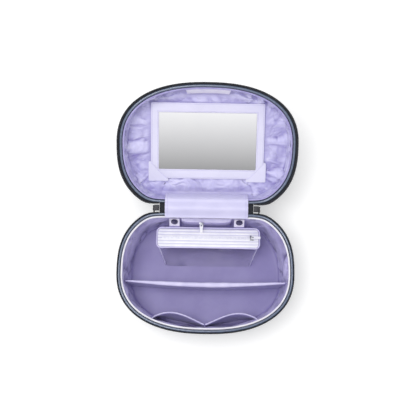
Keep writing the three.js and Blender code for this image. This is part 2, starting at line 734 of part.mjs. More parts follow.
/** The hem round the elastic along a pocket's top edge. */
function pocketHem(side) {
  const points = turns(0, 1, 10).map((share) => {
    const place = pocketPoint(side, share, POCKET_TOP);
    place.y += (ELASTIC - POCKET_SHEET) / 2;
    return place;
  });
  return tube(points, ELASTIC, 2, 20);
}

function frontPockets() {
  [['left', -1], ['right', 1]].forEach(([name, side]) => {
    const pocket = join([frontPocket(side), pocketHem(side)]);
    addPiece(`front_pocket_${name}`, pocket, lilacSatin);
  });
}

// Zip pocket on the back wall, between the snap tabs

/** Where the lining's back wall stands at a width x and a height z. */
function backWall(x, z) {
  return wallY(baseTub, x, liningSurface(baseTub, true).inset, z, true);
}

/** A cloth strip across the pocket's width. It stands off the wall by the pocket's depth, and
    comes back to the wall at both ends. The line holds [depth share, z] points. The wall is
    nearly straight there, so its place at the pocket's ends serves for the whole strip. */
function backPocketStrip(line, thickness) {
  const half = BACK_POCKET_WIDTH / 2;
  const seam = CLEARANCE + thickness / 2;
  const mirrored = BACK_POCKET_SHARES.map(([share, fullness]) => [-share, fullness]);
  const places = [...mirrored, ...BACK_POCKET_SHARES.toReversed()];
  const loops = places.map(([place, fullness]) => {
    const x = place * half;
    const points = line.map(([share, z]) => [
      backWall(half, z) - seam - BACK_POCKET_DEPTH * share * fullness,
      z,
    ]);
    return thickLine(points, thickness).map(([y, z]) => new THREE.Vector3(x, y, z));
  });
  return loft(loops);
}

function backPocketPanel() {
  const bottom = BACK_POCKET_TOP - BACK_POCKET_DROP;
  const line = [
    [0, bottom],
    [1, bottom + BACK_POCKET_DEPTH],
    [1, BACK_POCKET_TOP],
  ];
  return backPocketStrip(line, BACK_POCKET_SHEET);
}

/** The pocket's zip tape bridges from the panel's top edge back to the lining. */
function backPocketZip() {
  const bottom = BACK_POCKET_TOP + CLEARANCE + TAPE_THICKNESS / 2;
  const line = [
    [1, bottom],
    [1 / 3, bottom + BACK_ZIP_HEIGHT / 2],
    [0, bottom + BACK_ZIP_HEIGHT],
  ];
  return backPocketStrip(line, TAPE_THICKNESS);
}

/** A slider's body with a lug that carries its puller. */
function sliderBody({ length, height, depth }) {
  const body = block(length, depth, height, 0, -depth / 2, 0);
  const lug = block(length / 3, depth, PIVOT_DIAMETER * 2, 0, -depth * 1.5, 0);
  const joined = join([body, lug.translate(0, CLEARANCE, 0)]);
  const bore = rod(PIVOT_DIAMETER + CLEARANCE * 2, length, 'x', 0, -depth * 1.5, 0, 12);
  return cut(joined, [bore]);
}

/** A flat puller that hangs from a wire through its slider's lug. */
function pullerTab({ length, width, thickness }, wireLength) {
  const tab = block(width, thickness, length, 0, 0, -length / 2 - PIVOT_DIAMETER * 2);
  const wire = rod(PIVOT_DIAMETER, wireLength, 'x', 0, 0, 0, 8);
  const sideX = (wireLength - PIVOT_DIAMETER) / 2;
  const arms = [-sideX, sideX].map((x) =>
    block(PIVOT_DIAMETER, thickness, PIVOT_DIAMETER * 3, x, 0, -PIVOT_DIAMETER * 3 / 2),
  );
  const bridge = block(wireLength, thickness, PIVOT_DIAMETER, 0, 0, -PIVOT_DIAMETER * 2.5);
  return join([tab, wire, ...arms, bridge]);
}

const backZipMiddle = BACK_POCKET_TOP + CLEARANCE + BACK_ZIP_HEIGHT / 2;
const backZipFace =
  backWall(BACK_POCKET_WIDTH / 2, BACK_POCKET_TOP) -
  BACK_POCKET_DEPTH -
  BACK_POCKET_SHEET -
  CLEARANCE * 2;

function backPocket() {
  addPiece('back_pocket_panel', backPocketPanel(), lilacSatin);
  addPiece('back_pocket_zip', backPocketZip(), lilacSatin);
  const slider = addPiece('back_pocket_slider', sliderBody(BACK_SLIDER), steel);
  slider.position.set(BACK_SLIDER_PLACE, backZipFace, backZipMiddle);
  const wire = BACK_SLIDER.length / 3 + PIVOT_DIAMETER * 2 + CLEARANCE * 2;
  const puller = addPiece('back_pocket_puller', pullerTab(BACK_PULLER, wire), whiteTape);
  const pivot = backZipFace - BACK_SLIDER.depth * 1.5;
  puller.position.set(BACK_SLIDER_PLACE, pivot, backZipMiddle);
  puller.rotation.x = -BACK_PULLER_LEAN;
}

// Clear pouch: soft box, wider at its top, with its zip along the top

/** A loop round the pouch at a share of its height, drawn in by an inset. */
function pouchLoop(share, inset, lift = 0) {
  const mix = (bottom, top) => bottom + (top - bottom) * share;
  const half = mix(POUCH_BOTTOM_WIDTH, POUCH_TOP_WIDTH) / 2 - inset;
  const front = mix(POUCH_BOTTOM_FRONT, POUCH_TOP_FRONT) + inset;
  const back = mix(POUCH_BOTTOM_BACK, POUCH_TOP_BACK) - inset;
  const corner = POUCH_CORNER - inset;
  const ring = [
    [half, front + corner],
    [half, back - corner],
    [half - corner, back],
    [corner - half, back],
    [-half, back - corner],
    [-half, front + corner],
    [corner - half, front],
    [half - corner, front],
  ];
  return ring.map(([x, y]) => {
    const across = (y - front) / (back - front);
    const height = POUCH_FRONT_HEIGHT + (POUCH_BACK_HEIGHT - POUCH_FRONT_HEIGHT) * across;
    return new THREE.Vector3(x + POUCH_OFF_CENTRE, y, baseFloor + height * share + lift);
  });
}

function pouchBody() {
  const shares = turns(0, 1, 2);
  const outer = shares.map((share) => pouchLoop(share, 0));
  const inner = shares.map((share) => pouchLoop(share, POUCH_WALL, share ? 0 : POUCH_WALL)).reverse();
  return loft([...outer, ...inner]);
}

function pouchPanel() {
  const lift = CLEARANCE;
  return loft([pouchLoop(1, 0, lift), pouchLoop(1, 0, lift + POUCH_PANEL)]);
}

/** Piping along the pouch's top edge, from one back corner round the front to the other. */
function pouchPiping() {
  const ring = pouchLoop(1, -CLEARANCE * 2 - POUCH_PIPING / 2, CLEARANCE + POUCH_PANEL / 2);
  const path = [...ring.slice(4), ring[0], ring[1]];
  const loops = path.map((p, i) => {
    const before = path[Math.max(i - 1, 0)];
    const after = path[Math.min(i + 1, path.length - 1)];
    const along = after.clone().sub(before).normalize();
    const up = new THREE.Vector3(0, 0, 1);
    const out = along.clone().cross(up).normalize();
    return ovalSection(0, 0, POUCH_PIPING, POUCH_PIPING, BEAD_SIDES).map(([side, rise]) =>
      p.clone().addScaledVector(out, side).addScaledVector(up, rise),
    );
  });
  return loft(loops);
}

const pouchMiddle = (POUCH_TOP_FRONT + POUCH_TOP_BACK) / 2;
const pouchSlope = Math.atan2(
  POUCH_BACK_HEIGHT - POUCH_FRONT_HEIGHT,
  POUCH_TOP_BACK - POUCH_TOP_FRONT,
);
const pouchTop = baseFloor + (POUCH_FRONT_HEIGHT + POUCH_BACK_HEIGHT) / 2 + POUCH_PANEL + CLEARANCE;

function clearPouch() {
  addPiece('pouch_body', pouchBody(), clearVinyl);
  addPiece('pouch_top_panel', pouchPanel(), whiteTape);
  addPiece('pouch_piping', pouchPiping(), lilacSatin);
  const zipLength = POUCH_TOP_WIDTH - POUCH_ZIP_MARGIN * 2;
  const seat = new THREE.Group();
  seat.position.set(POUCH_OFF_CENTRE, pouchMiddle, pouchTop + CLEARANCE);
  seat.rotation.x = pouchSlope;
  beautyCase.add(seat);
  const coil = block(zipLength, POUCH_ZIP_WIDTH, POUCH_ZIP_HEIGHT, 0, 0, POUCH_ZIP_HEIGHT / 2);
  addPiece('pouch_zip_coil', coil, whiteTape, seat);

  // the slider lies on the coil, its face up, and its puller lies out past the pouch's end
  const face = POUCH_ZIP_HEIGHT + CLEARANCE;
  const place = zipLength / 2 - POUCH_SLIDER.length / 2;
  const slider = addPiece('pouch_slider', sliderBody(POUCH_SLIDER), steel, seat);
  slider.geometry.rotateX(-Math.PI / 2).rotateZ(Math.PI / 2);
  slider.position.set(place, 0, face);
  const wire = POUCH_SLIDER.length / 3 + PIVOT_DIAMETER * 2 + CLEARANCE * 2;
  const puller = addPiece('pouch_puller', pullerTab(POUCH_PULLER, wire), whiteTape, seat);
  puller.geometry.rotateX(-Math.PI / 2).rotateZ(Math.PI / 2);
  puller.position.set(place, 0, face + POUCH_SLIDER.depth * 1.5);
  puller.rotation.y = PULLER_DROOP;
}

// Snap tabs on the back wall, and the pouch's own tabs that they button on to

function snapTabs() {
  [['left', -1], ['right', 1]].forEach(([name, side]) => {
    const x = (side * TAB_SPACING) / 2 + TAB_OFF_CENTRE;
    const hinge = new THREE.Group();
    const wall = backWall(Math.abs(x) + TAB_WIDTH / 2, TAB_TOP);
    hinge.position.set(x, wall - CLEARANCE - TAB_THICKNESS, TAB_TOP);
    hinge.rotation.x = -TAB_LEAN;
    beautyCase.add(hinge);

    // in this group -Z runs down the tab and -Y is its face
    const strap = block(TAB_WIDTH, TAB_THICKNESS, TAB_LENGTH, 0, 0, -TAB_LENGTH / 2);
    const socket = rod(STUD_DIAMETER + SOCKET_PLAY, TAB_THICKNESS + OVERRUN, 'y', 0, 0, -CAP_DROP);
    addPiece(`snap_tab_${name}`, cut(strap, [socket]), lilacSatin, hinge);

    const capFace = -TAB_THICKNESS / 2 - CLEARANCE;
    const cap = rod(CAP_DIAMETER, CAP_HEIGHT, 'y', 0, capFace - CAP_HEIGHT / 2, -CAP_DROP);
    const recess = rod(STUD_DIAMETER + SOCKET_PLAY, CAP_HEIGHT, 'y', 0, capFace, -CAP_DROP);
    addPiece(`snap_cap_${name}`, cut(cap, [recess]), gunmetal, hinge);

    // the pouch's tab lies behind the snap tab, and its stud reaches into the cap
    const behind = TAB_THICKNESS + CLEARANCE;
    const tabLength = TAB_LENGTH + POUCH_PIPING / 2;
    const pouchTab = block(TAB_WIDTH, TAB_THICKNESS, tabLength, 0, behind, -CAP_DROP / 2 - tabLength / 2);
    const eyelet = rod(STUD_DIAMETER / 2, TAB_THICKNESS + OVERRUN, 'y', 0, behind, -CAP_DROP);
    addPiece(`pouch_tab_${name}`, cut(pouchTab, [eyelet]), lilacSatin, hinge);
    const studFoot = behind - TAB_THICKNESS / 2 - CLEARANCE / 3;
    const stud = rod(STUD_DIAMETER, TAB_THICKNESS + STUD_HEIGHT, 'y', 0, 0, -CAP_DROP);
    stud.translate(0, studFoot - (TAB_THICKNESS + STUD_HEIGHT) / 2, 0);
    const shankDiameter = STUD_DIAMETER / 2 - CLEARANCE * 2;
    const shank = rod(shankDiameter, TAB_THICKNESS, 'y', 0, behind - CLEARANCE, -CAP_DROP);
    addPiece(`snap_stud_${name}`, join([stud, shank]), gunmetal, hinge);
  });
}

// Main zip sliders with their pullers

function mainSliders() {
  [['left', -1], ['right', 1]].forEach(([name, side]) => {
    const start = HINGE_HALF_WIDTH + CLEARANCE * 2;
    const body = block(SLIDER.length, SLIDER.width, SLIDER.height, SLIDER.length / 2, 0, 0);
    const lugs = [-1, 1].map((row) =>
      block(
        SLIDER_LUG.length + OVERRUN,
        SLIDER_LUG.width / 2,
        SLIDER_LUG.height,
        SLIDER.length + (SLIDER_LUG.length - OVERRUN) / 2,
        (row * (SLIDER.width - SLIDER_LUG.width)) / 2,
        0,
      ),
    );
    const pivotX = SLIDER.length + SLIDER_LUG.length / 2;
    const bore = rod(PIVOT_DIAMETER + CLEARANCE, SLIDER.width + OVERRUN, 'y', pivotX, 0, 0, 12);
    const group = new THREE.Group();
    group.position.set(side * start, HINGE_Y, CLOSURE_PLANE);
    group.rotation.z = side > 0 ? 0 : Math.PI;
    beautyCase.add(group);
    addPiece(`zip_slider_${name}`, cut(join([body, ...lugs]), [bore]), steel, group);

    const { length, width, thickness } = MAIN_PULLER;
    const neckWidth = SLIDER.width - SLIDER_LUG.width * 1.5 - CLEARANCE * 2;
    const neck = block(thickness, neckWidth, length, 0, 0, -length / 2);
    const tab = block(thickness, width, length - SLIDER.height, 0, 0, -(length + SLIDER.height) / 2);
    const pin = rod(PIVOT_DIAMETER, SLIDER.width - CLEARANCE, 'y', 0, 0, 0, 8);
    const puller = addPiece(`zip_puller_${name}`, join([neck, tab, pin]), steel, group);
    puller.position.set(pivotX, 0, 0);
  });
}

/** The board's outline keeps a gap inside the rounded edge of the shell's floor. */
function baseBoard() {
  const foot = BASE_WALL + CLEARANCE;
  const loops = [foot, foot + BOARD_THICKNESS].map((z) =>
    turns(0, Math.PI * 2, RIM_STEPS)
      .slice(0, -1)
      .map((turn) => tubPoint(baseTub, turn, BASE_EDGE + BOARD_EDGE_GAP, z)),
  );
  return loft(loops);
}

function feet() {
  const rows = [
    ['rear', CASE_DEPTH / 2 - FOOT_REAR_ROOM],
    ['front', FOOT_FRONT_ROOM - CASE_DEPTH / 2],
  ];
  rows.forEach(([row, y]) => {
    [['left', -1], ['right', 1]].forEach(([name, side]) => {
      const x = side * (CASE_WIDTH / 2 - FOOT_SIDE_ROOM);
      const foot = rod(FOOT_DIAMETER, FOOT_HEIGHT, 'z', x, y, -CLEARANCE - FOOT_HEIGHT / 2);
      addPiece(`foot_${row}_${name}`, foot, blackRubber);
    });
  });
}

// Inside the lid. Heights are counted from the dome, as in the lid's tub.

const lidFloor = LID_LINING_FLOOR + LINING + CLEARANCE;
const frameSeat = lidFloor + PLATFORM.thickness + CLEARANCE;
const frameTop = frameSeat + MIRROR_FRAME.thickness;

/** Puts a geometry that was built upwards from height 0 on to the lid's inner side at a seat. */
function inLid(geometry, seat) {
  return geometry.rotateX(Math.PI).translate(0, 0, lidTub.stand(seat));
}

function mirror() {
  const platform = roundedPlate(PLATFORM, 0).translate(0, -MIRROR_FRAME.place, 0);
  addPiece('mirror_platform', inLid(platform, lidFloor), lilacSatin, lid);

  const { width, height, thickness } = MIRROR_GLASS;
  const frame = roundedPlate(MIRROR_FRAME, 0);
  const floor = MIRROR_FRAME.thickness - thickness - CLEARANCE;
  const recessHeight = thickness + CLEARANCE + OVERRUN;
  const recess = block(
    width + CLEARANCE * 2,
    height + CLEARANCE * 2,
    recessHeight,
    0,
    0,
    floor + recessHeight / 2,
  );
  const framed = cut(frame, [recess]).translate(0, -MIRROR_FRAME.place, 0);
  addPiece('mirror_frame', inLid(framed, frameSeat), leatherette, lid);
  const glass = block(width, height, thickness, 0, -MIRROR_FRAME.place, thickness / 2);
  addPiece('mirror_glass', inLid(glass, frameSeat + floor + CLEARANCE / 2), silvered, lid);
}

/** A triangular pocket over each corner of the mirror frame on the hinge side. */
function cornerPockets() {
  const wallX = MIRROR_FRAME.width / 2 + CLEARANCE;
  const wallAt = MIRROR_FRAME.height / 2 + MIRROR_FRAME.place + CLEARANCE;
  const outerX = MIRROR_FRAME.width / 2 + CORNER_MARGIN_X;
  const outerY = MIRROR_FRAME.height / 2 + MIRROR_FRAME.place + CORNER_MARGIN_Y;
  const rise = frameTop + CLEARANCE - lidFloor;
  [['left', -1], ['right', 1]].forEach(([name, side]) => {
    const shape = new THREE.Shape([
      new THREE.Vector2(side * outerX, -outerY),
      new THREE.Vector2(side * outerX, CORNER_LEG - outerY),
      new THREE.Vector2(side * (outerX - CORNER_LEG), -outerY),
    ]);
    const options = { depth: rise + CORNER_SHEET, bevelEnabled: false };
    const wedge = new THREE.ExtrudeGeometry(shape, options);
    const room = block(
      CORNER_LEG * 2,
      CORNER_LEG * 2,
      rise * 2,
      side * (wallX - CORNER_LEG),
      CORNER_LEG - wallAt,
      0,
    );
    addPiece(`corner_pocket_${name}`, inLid(cut(wedge, [room]), lidFloor), leatherette, lid);
  });
}

/** The padded patch low on the lid's front wall. */
function coverPatch() {
  const inset = liningSurface(lidTub, true).inset + CLEARANCE;
  const top = LID_HEIGHT - PATCH.top - CLEARANCE;
  const bottom = LID_HEIGHT - PATCH.bottom;
  const rollIn = WELT_INSET + LINING;
  const section = [
    [rollIn + CLEARANCE * 2, top],
    [rollIn + PATCH.thin, top],
    [inset + PATCH.thick, bottom],
    [inset, bottom],
    [inset, LID_HEIGHT - LINING_ROLL - PATCH.thin],
  ];
  const half = Math.PI / 2 - turnAtX(lidTub, PATCH_HALF_WIDTH, inset, bottom, false);
  return rimRun(lidTub, () => section, -Math.PI / 2 - half, -Math.PI / 2 + half, 8);
}

// Handle on the dome. In this group +Z points out of the dome.

const bracketPlaces = [['left', -1], ['right', 1]];
const screwInset = (BRACKET.foot - BRACKET.length) / 2 + SCREW_DIAMETER;

function handleBracket() {
  const gap = EYE_WIDTH + RUNNING_GAP * 2;
  const outerWidth = gap + BRACKET.ear * 2;
  const earHeight = BRACKET.pinHeight + EYE_DIAMETER / 2;
  const foot = block(outerWidth, BRACKET.foot, BRACKET.base, 0, 0, BRACKET.base / 2);
  const ears = [-1, 1].map((row) =>
    block(
      BRACKET.ear,
      EYE_DIAMETER,
      earHeight,
      (row * (gap + BRACKET.ear)) / 2,
      0,
      earHeight / 2,
    ),
  );
  const pinHole = rod(HANDLE_PIN + RUNNING_GAP * 2, outerWidth + OVERRUN, 'x', 0, 0, BRACKET.pinHeight);
  const screwHole = rod(SCREW_DIAMETER + CLEARANCE * 2, BRACKET.base * 3, 'z', 0, screwInset, 0);
  return cut(join([foot, ...ears]), [pinHole, screwHole]);
}

function handleGrip() {
  const half = HANDLE_SPAN / 2;
  const shoulder = half - HANDLE_GRIP;
  const places = [
    [-half, 0],
    [-half, HANDLE_RISE / 2],
    [-shoulder, HANDLE_RISE],
    [0, HANDLE_RISE + HANDLE_GRIP / 4],
    [shoulder, HANDLE_RISE],
    [half, HANDLE_RISE / 2],
    [half, 0],
  ];
  const bar = tube(places.map(([x, z]) => new THREE.Vector3(x, 0, z)), EYE_WIDTH - CLEARANCE, 4, 22);
  const eyes = [-half, half].map((x) => rod(EYE_DIAMETER, EYE_WIDTH, 'x', x, 0, 0));
  const bores = [-half, half].map((x) =>
    rod(HANDLE_PIN + RUNNING_GAP * 2, EYE_WIDTH + OVERRUN, 'x', x, 0, 0),
  );
  return cut(join([bar, ...eyes]), bores);
}

function handle() {
  const dome = new THREE.Group();
  dome.position.set(0, 0, LID_TOP + CLEARANCE);
  lid.add(dome);
  bracketPlaces.forEach(([name, side]) => {
    const x = (side * HANDLE_SPAN) / 2;
    addPiece(`handle_bracket_${name}`, handleBracket(), shellBlue, dome).position.set(x, 0, 0);
    const pinLength = EYE_WIDTH + BRACKET.ear * 2;
    const pin = rod(HANDLE_PIN, pinLength, 'x', x, 0, BRACKET.pinHeight);
    addPiece(`handle_pin_${name}`, pin, steel, dome);

    // from the inside: head on the backing plate, shank through plate and shell to the bracket
    const reach = PLATE.thickness + LID_WALL + BRACKET.base / 2 + CLEARANCE * 2;
    const headSeat = -LID_WALL - PLATE.thickness - CLEARANCE * 3;
    const shank = rod(SCREW_DIAMETER, reach, 'z', x, screwInset, headSeat + reach / 2);
    const head = rod(SCREW_HEAD, SCREW_HEAD_HEIGHT, 'z', x, screwInset, headSeat - SCREW_HEAD_HEIGHT / 2);
    addPiece(`handle_screw_${name}`, join([shank, head]), steel, dome);
  });
  // the grip hangs straight down when the lid lies open
  const grip = addPiece('handle_grip', handleGrip(), blackRubber, dome);
  grip.position.z = BRACKET.pinHeight;
  grip.rotation.x = LID_OPEN_ANGLE - Math.PI;
}

/** Holes for the handle's screws, through the lid's shell or the backing plate. */
function screwHoles() {
  return bracketPlaces.map(([, side]) =>
    rod(
      SCREW_DIAMETER + CLEARANCE * 2,
      (LID_WALL + PLATE.thickness) * 4,
      'z',
      (side * HANDLE_SPAN) / 2,
      screwInset,
      LID_TOP,
    ),
  );
}

function backingPlate() {
  const top = LID_TOP - LID_WALL - CLEARANCE;
  return block(PLATE.width, PLATE.height, PLATE.thickness, 0, 0, top - PLATE.thickness / 2);
}

addPiece('base_shell', shell(baseTub), shellBlue);
addPiece('base_board', baseBoard(), boardGrey);
addPiece('base_lining', lining(baseTub), lilacSatin);
rimPieces(baseTub, 'base', beautyCase);
addPiece('hinge_cloth', clothHinge(), blackCloth);
addPiece('hinge_flap', hingeFlap(), leatherette);
addPiece('divider_panel', dividerPanel(), lilacSatin);
addPiece('divider_binding', dividerBinding(), lilacSatin);
frontPockets();
backPocket();
clearPouch();
snapTabs();
mainSliders();
feet();

addPiece('lid_shell', cut(shell(lidTub), screwHoles()), shellBlue, lid);
addPiece('lid_lining', lining(lidTub), lilacSatin, lid);
rimPieces(lidTub, 'lid', lid);
mirror();
cornerPockets();
addPiece('lid_cover_patch', coverPatch(), leatherette, lid);
handle();
addPiece('handle_backing_plate', cut(backingPlate(), screwHoles()), boardGrey, lid);

export default beautyCase;
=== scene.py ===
# %% [markdown]
# A hard-shell beauty case lies open: a deep oval base with cloth pockets and a clear pouch, and a
# shallow lid with a mirror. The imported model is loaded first, as a fixed frame. Every piece below
# is built in metres in that same frame, so it goes where the solids say, without any fitting.

# %% Load the frame
import json
import math
from contextlib import contextmanager
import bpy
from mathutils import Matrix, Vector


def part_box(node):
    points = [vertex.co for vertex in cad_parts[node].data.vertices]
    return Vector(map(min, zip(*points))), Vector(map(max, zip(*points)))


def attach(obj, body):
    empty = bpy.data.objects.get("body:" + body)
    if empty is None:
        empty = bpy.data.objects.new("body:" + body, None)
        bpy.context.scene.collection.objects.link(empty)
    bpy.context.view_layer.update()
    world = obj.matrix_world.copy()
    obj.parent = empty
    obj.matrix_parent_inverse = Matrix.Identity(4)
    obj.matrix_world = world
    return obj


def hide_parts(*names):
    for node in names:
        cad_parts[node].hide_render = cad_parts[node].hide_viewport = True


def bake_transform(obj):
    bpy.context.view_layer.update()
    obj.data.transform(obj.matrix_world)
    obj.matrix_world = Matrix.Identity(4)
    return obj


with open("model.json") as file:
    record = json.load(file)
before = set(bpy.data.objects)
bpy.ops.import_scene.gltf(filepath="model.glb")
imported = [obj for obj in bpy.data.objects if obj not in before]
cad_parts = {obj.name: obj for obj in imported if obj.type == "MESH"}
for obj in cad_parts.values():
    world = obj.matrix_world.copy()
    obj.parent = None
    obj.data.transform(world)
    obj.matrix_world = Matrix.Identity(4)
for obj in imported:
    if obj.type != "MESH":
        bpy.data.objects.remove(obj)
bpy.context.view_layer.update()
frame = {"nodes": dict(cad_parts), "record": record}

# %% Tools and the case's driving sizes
from types import SimpleNamespace as Sizes

import bmesh
import bpy
import numpy as np
from mathutils import Matrix, Vector, noise

MM = 0.001
record = frame["record"]
HALF_WIDTH, HALF_DEPTH, BASE_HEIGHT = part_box("base_shell")[1]
LID_HEIGHT = 50 * MM
FRONT_POWER = 2.38
BACK_POWER = 2.6
BACK_OVERREACH = 17.5 * MM
CUT_SHARPNESS = 30
lid_joint = next(j for j in record["behaviour"]["joints"] if j["name"] == "lid_hinge")
hinge = Vector(lid_joint["pos_m"])
OPEN_ANGLE = math.radians(lid_joint["range_deg"][1])
ZIP_STAND = hinge.z - BASE_HEIGHT
LID_TOP = hinge.z + ZIP_STAND + LID_HEIGHT
CLEARANCE = 0.3 * MM
print("half width", HALF_WIDTH, "half depth", HALF_DEPTH, "hinge", tuple(hinge))

# %% [markdown]
# The camera comes first, because every later choice is judged through it. It looks almost straight
# down, leaning 12 degrees, from far enough away that the two halves look nearly flat. A long lens
# with the photograph's small turn about its own axis gives the same frame.

# %% Camera
CAMERA_DISTANCE = 1.7
CAMERA_LEAN = math.radians(12)
CAMERA_TURN = math.radians(0.94)
FRAME_PIXELS = 416
CENTRE_PIXEL_X = 206.5
CENTRE_PIXEL_Y = 208.4
PIXELS_PER_METRE = 545.5
SENSOR = 36


def add_object(name, data):
    """Puts a mesh, a camera or a lamp into the scene."""
    made = bpy.data.objects.new(name, data)
    bpy.context.scene.collection.objects.link(made)
    return made


target = Vector((0, hinge.y, hinge.z))
backwards = Vector((0, -math.sin(CAMERA_LEAN), math.cos(CAMERA_LEAN)))
upwards = Vector((0, math.cos(CAMERA_LEAN), math.sin(CAMERA_LEAN)))
sideways = Vector((1, 0, 0))
turned_side = sideways * math.cos(CAMERA_TURN) + upwards * math.sin(CAMERA_TURN)
turned_up = upwards * math.cos(CAMERA_TURN) - sideways * math.sin(CAMERA_TURN)

camera = add_object("camera", bpy.data.cameras.new("camera"))
pose = Matrix((turned_side, turned_up, backwards)).transposed().to_4x4()
pose.translation = target + backwards * CAMERA_DISTANCE
camera.matrix_world = pose
camera.data.sensor_width = SENSOR
camera.data.lens = PIXELS_PER_METRE * CAMERA_DISTANCE / FRAME_PIXELS * SENSOR
camera.data.shift_x = (FRAME_PIXELS / 2 - CENTRE_PIXEL_X) / FRAME_PIXELS
camera.data.shift_y = (CENTRE_PIXEL_Y - FRAME_PIXELS / 2) / FRAME_PIXELS
bpy.context.scene.camera = camera
print("lens", round(camera.data.lens, 1), "mm")

# %% [markdown]
# A finish is built from a few small patterns: woven threads, leather grain, soft patches of shade
# and fine scuffs. Several materials share them, so each is a node group with its own inputs. A
# group only puts out numbers that change over the surface, and the shader stays in the material.

# %% Node helpers
def fill(tree, made, inputs):
    """Fills inputs of a node, given as {name or number: value}. An output of another node is
    linked, and any other value is set on the input itself."""
    for name, value in inputs.items():
        if isinstance(value, bpy.types.NodeSocket):
            tree.links.new(value, made.inputs[name])
        else:
            made.inputs[name].default_value = value


def node(tree, kind, inputs=None, **settings):
    """Adds a node, sets its own properties and fills its inputs."""
    made = tree.nodes.new(kind)
    for name, value in settings.items():
        setattr(made, name, value)
    fill(tree, made, inputs or {})
    return made


def maths(tree, operation, *values):
    return node(tree, "ShaderNodeMath", dict(enumerate(values)), operation=operation).outputs[0]


def clouds(tree, place, scale, **more):
    """Noise at a place, from 0 to 1."""
    inputs = {"Vector": place, "Scale": scale, **more}
    return node(tree, "ShaderNodeTexNoise", inputs).outputs["Fac"]


def spread(tree, value, ends):
    """Takes a number from one range to another. An end that isn't given stays at 0 or 1."""
    return node(tree, "ShaderNodeMapRange", {"Value": value, **ends}).outputs["Result"]


def mixed(tree, share, first, second):
    """A colour on the way from the first to the second."""
    inputs = {"Factor": share, "A": first, "B": second}
    return node(tree, "ShaderNodeMix", inputs, data_type="RGBA").outputs["Result"]


def attribute(tree, name):
    """The number that a piece carries under this name at each of its points."""
    return node(tree, "ShaderNodeAttribute", attribute_name=name).outputs["Fac"]


def new_group(name, numbers, colours=(), outputs=("Height",)):
    """A shader group with a Vector input, number inputs as {name: default} and colour inputs. An
    output called Color is a colour, and any other one is a number."""
    tree = bpy.data.node_groups.new(name, "ShaderNodeTree")
    sockets = tree.interface
    sockets.new_socket("Vector", in_out="INPUT", socket_type="NodeSocketVector")
    for label, default in numbers.items():
        made = sockets.new_socket(label, in_out="INPUT", socket_type="NodeSocketFloat")
        made.default_value = default
    for label in colours:
        sockets.new_socket(label, in_out="INPUT", socket_type="NodeSocketColor")
    for label in outputs:
        kind = "NodeSocketColor" if label == "Color" else "NodeSocketFloat"
        sockets.new_socket(label, in_out="OUTPUT", socket_type=kind)
    return tree, tree.nodes.new("NodeGroupInput").outputs, tree.nodes.new("NodeGroupOutput")


# %% Shared pattern: woven threads
def weave_group():
    tree, given, out = new_group("woven threads", {"Threads": 2500.0})
    parts = node(tree, "ShaderNodeSeparateXYZ", {0: given["Vector"]})
    bands = []
    for axis in range(2):
        phase = maths(tree, "MULTIPLY", parts.outputs[axis], given["Threads"])
        wave = maths(tree, "SINE", maths(tree, "MULTIPLY", phase, math.pi))
        bands.append(maths(tree, "ABSOLUTE", wave))
    fill(tree, out, {"Height": maths(tree, "MULTIPLY", *bands)})
    return tree


# %% Shared pattern: leather grain
def grain_group():
    tree, given, out = new_group("leather grain", {"Scale": 900.0})
    place, scale = given["Vector"], given["Scale"]
    cells = node(tree, "ShaderNodeTexVoronoi", {"Vector": place, "Scale": scale},
                 feature="DISTANCE_TO_EDGE")
    pores = clouds(tree, place, maths(tree, "MULTIPLY", scale, 2.5))
    crown = maths(tree, "MINIMUM", maths(tree, "MULTIPLY", cells.outputs["Distance"], 4), 1)
    fill(tree, out, {"Height": maths(tree, "ADD", crown, maths(tree, "MULTIPLY", pores, 0.3))})
    return tree


# %% Shared patterns: soft patches of shade, and fine scuffs
def patches_group():
    tree, given, out = new_group("soft patches", {"Scale": 30.0}, ("Dark", "Light"), ("Color",))
    cloud = clouds(tree, given["Vector"], given["Scale"], Detail=4)
    share = spread(tree, cloud, {"From Min": 0.35, "From Max": 0.65})
    fill(tree, out, {"Color": mixed(tree, share, given["Dark"], given["Light"])})
    return tree


def scuffs_group():
    tree, given, out = new_group("fine scuffs", {"Scale": 200.0, "Low": 0.2, "High": 0.35},
                                 outputs=("Roughness", "Height"))
    dust = clouds(tree, given["Vector"], given["Scale"], Detail=6)
    rough = spread(tree, dust, {"To Min": given["Low"], "To Max": given["High"]})
    fill(tree, out, {"Roughness": rough, "Height": dust})
    return tree


# %% Shared pattern: fine crinkles of loose satin
def crinkles_group():
    tree, given, out = new_group("fine crinkles", {"Scale": 32.0})
    cloud = clouds(tree, given["Vector"], given["Scale"], Detail=2, Distortion=0.8)
    around_middle = maths(tree, "SUBTRACT", cloud, 0.5)
    fill(tree, out, {"Height": maths(tree, "ABSOLUTE", around_middle)})
    return tree


weave = weave_group()
grain = grain_group()
patches = patches_group()
scuffs = scuffs_group()
crinkles = crinkles_group()
print("shared patterns:", [tree.name for tree in (weave, grain, patches, scuffs, crinkles)])


# %% [markdown]
# Each finish starts from the same short recipe: two close shades mixed in soft patches, a
# roughness, and a relief that comes from threads, grain or scuffs. Satin and cloth also get a
# little sheen, which lightens them where they curve away.

# %% Finish recipe
def shade(red, green, blue):
    """A colour written as it shows on screen, from 0 to 255, as the shader's linear values."""
    linear = [((c / 255 + 0.055) / 1.055) ** 2.4 for c in (red, green, blue)]
    return (*linear, 1)


def pattern(tree, group, place, inputs):
    """The outputs of a shared pattern at a place."""
    return node(tree, "ShaderNodeGroup", {"Vector": place, **inputs}, node_tree=group).outputs


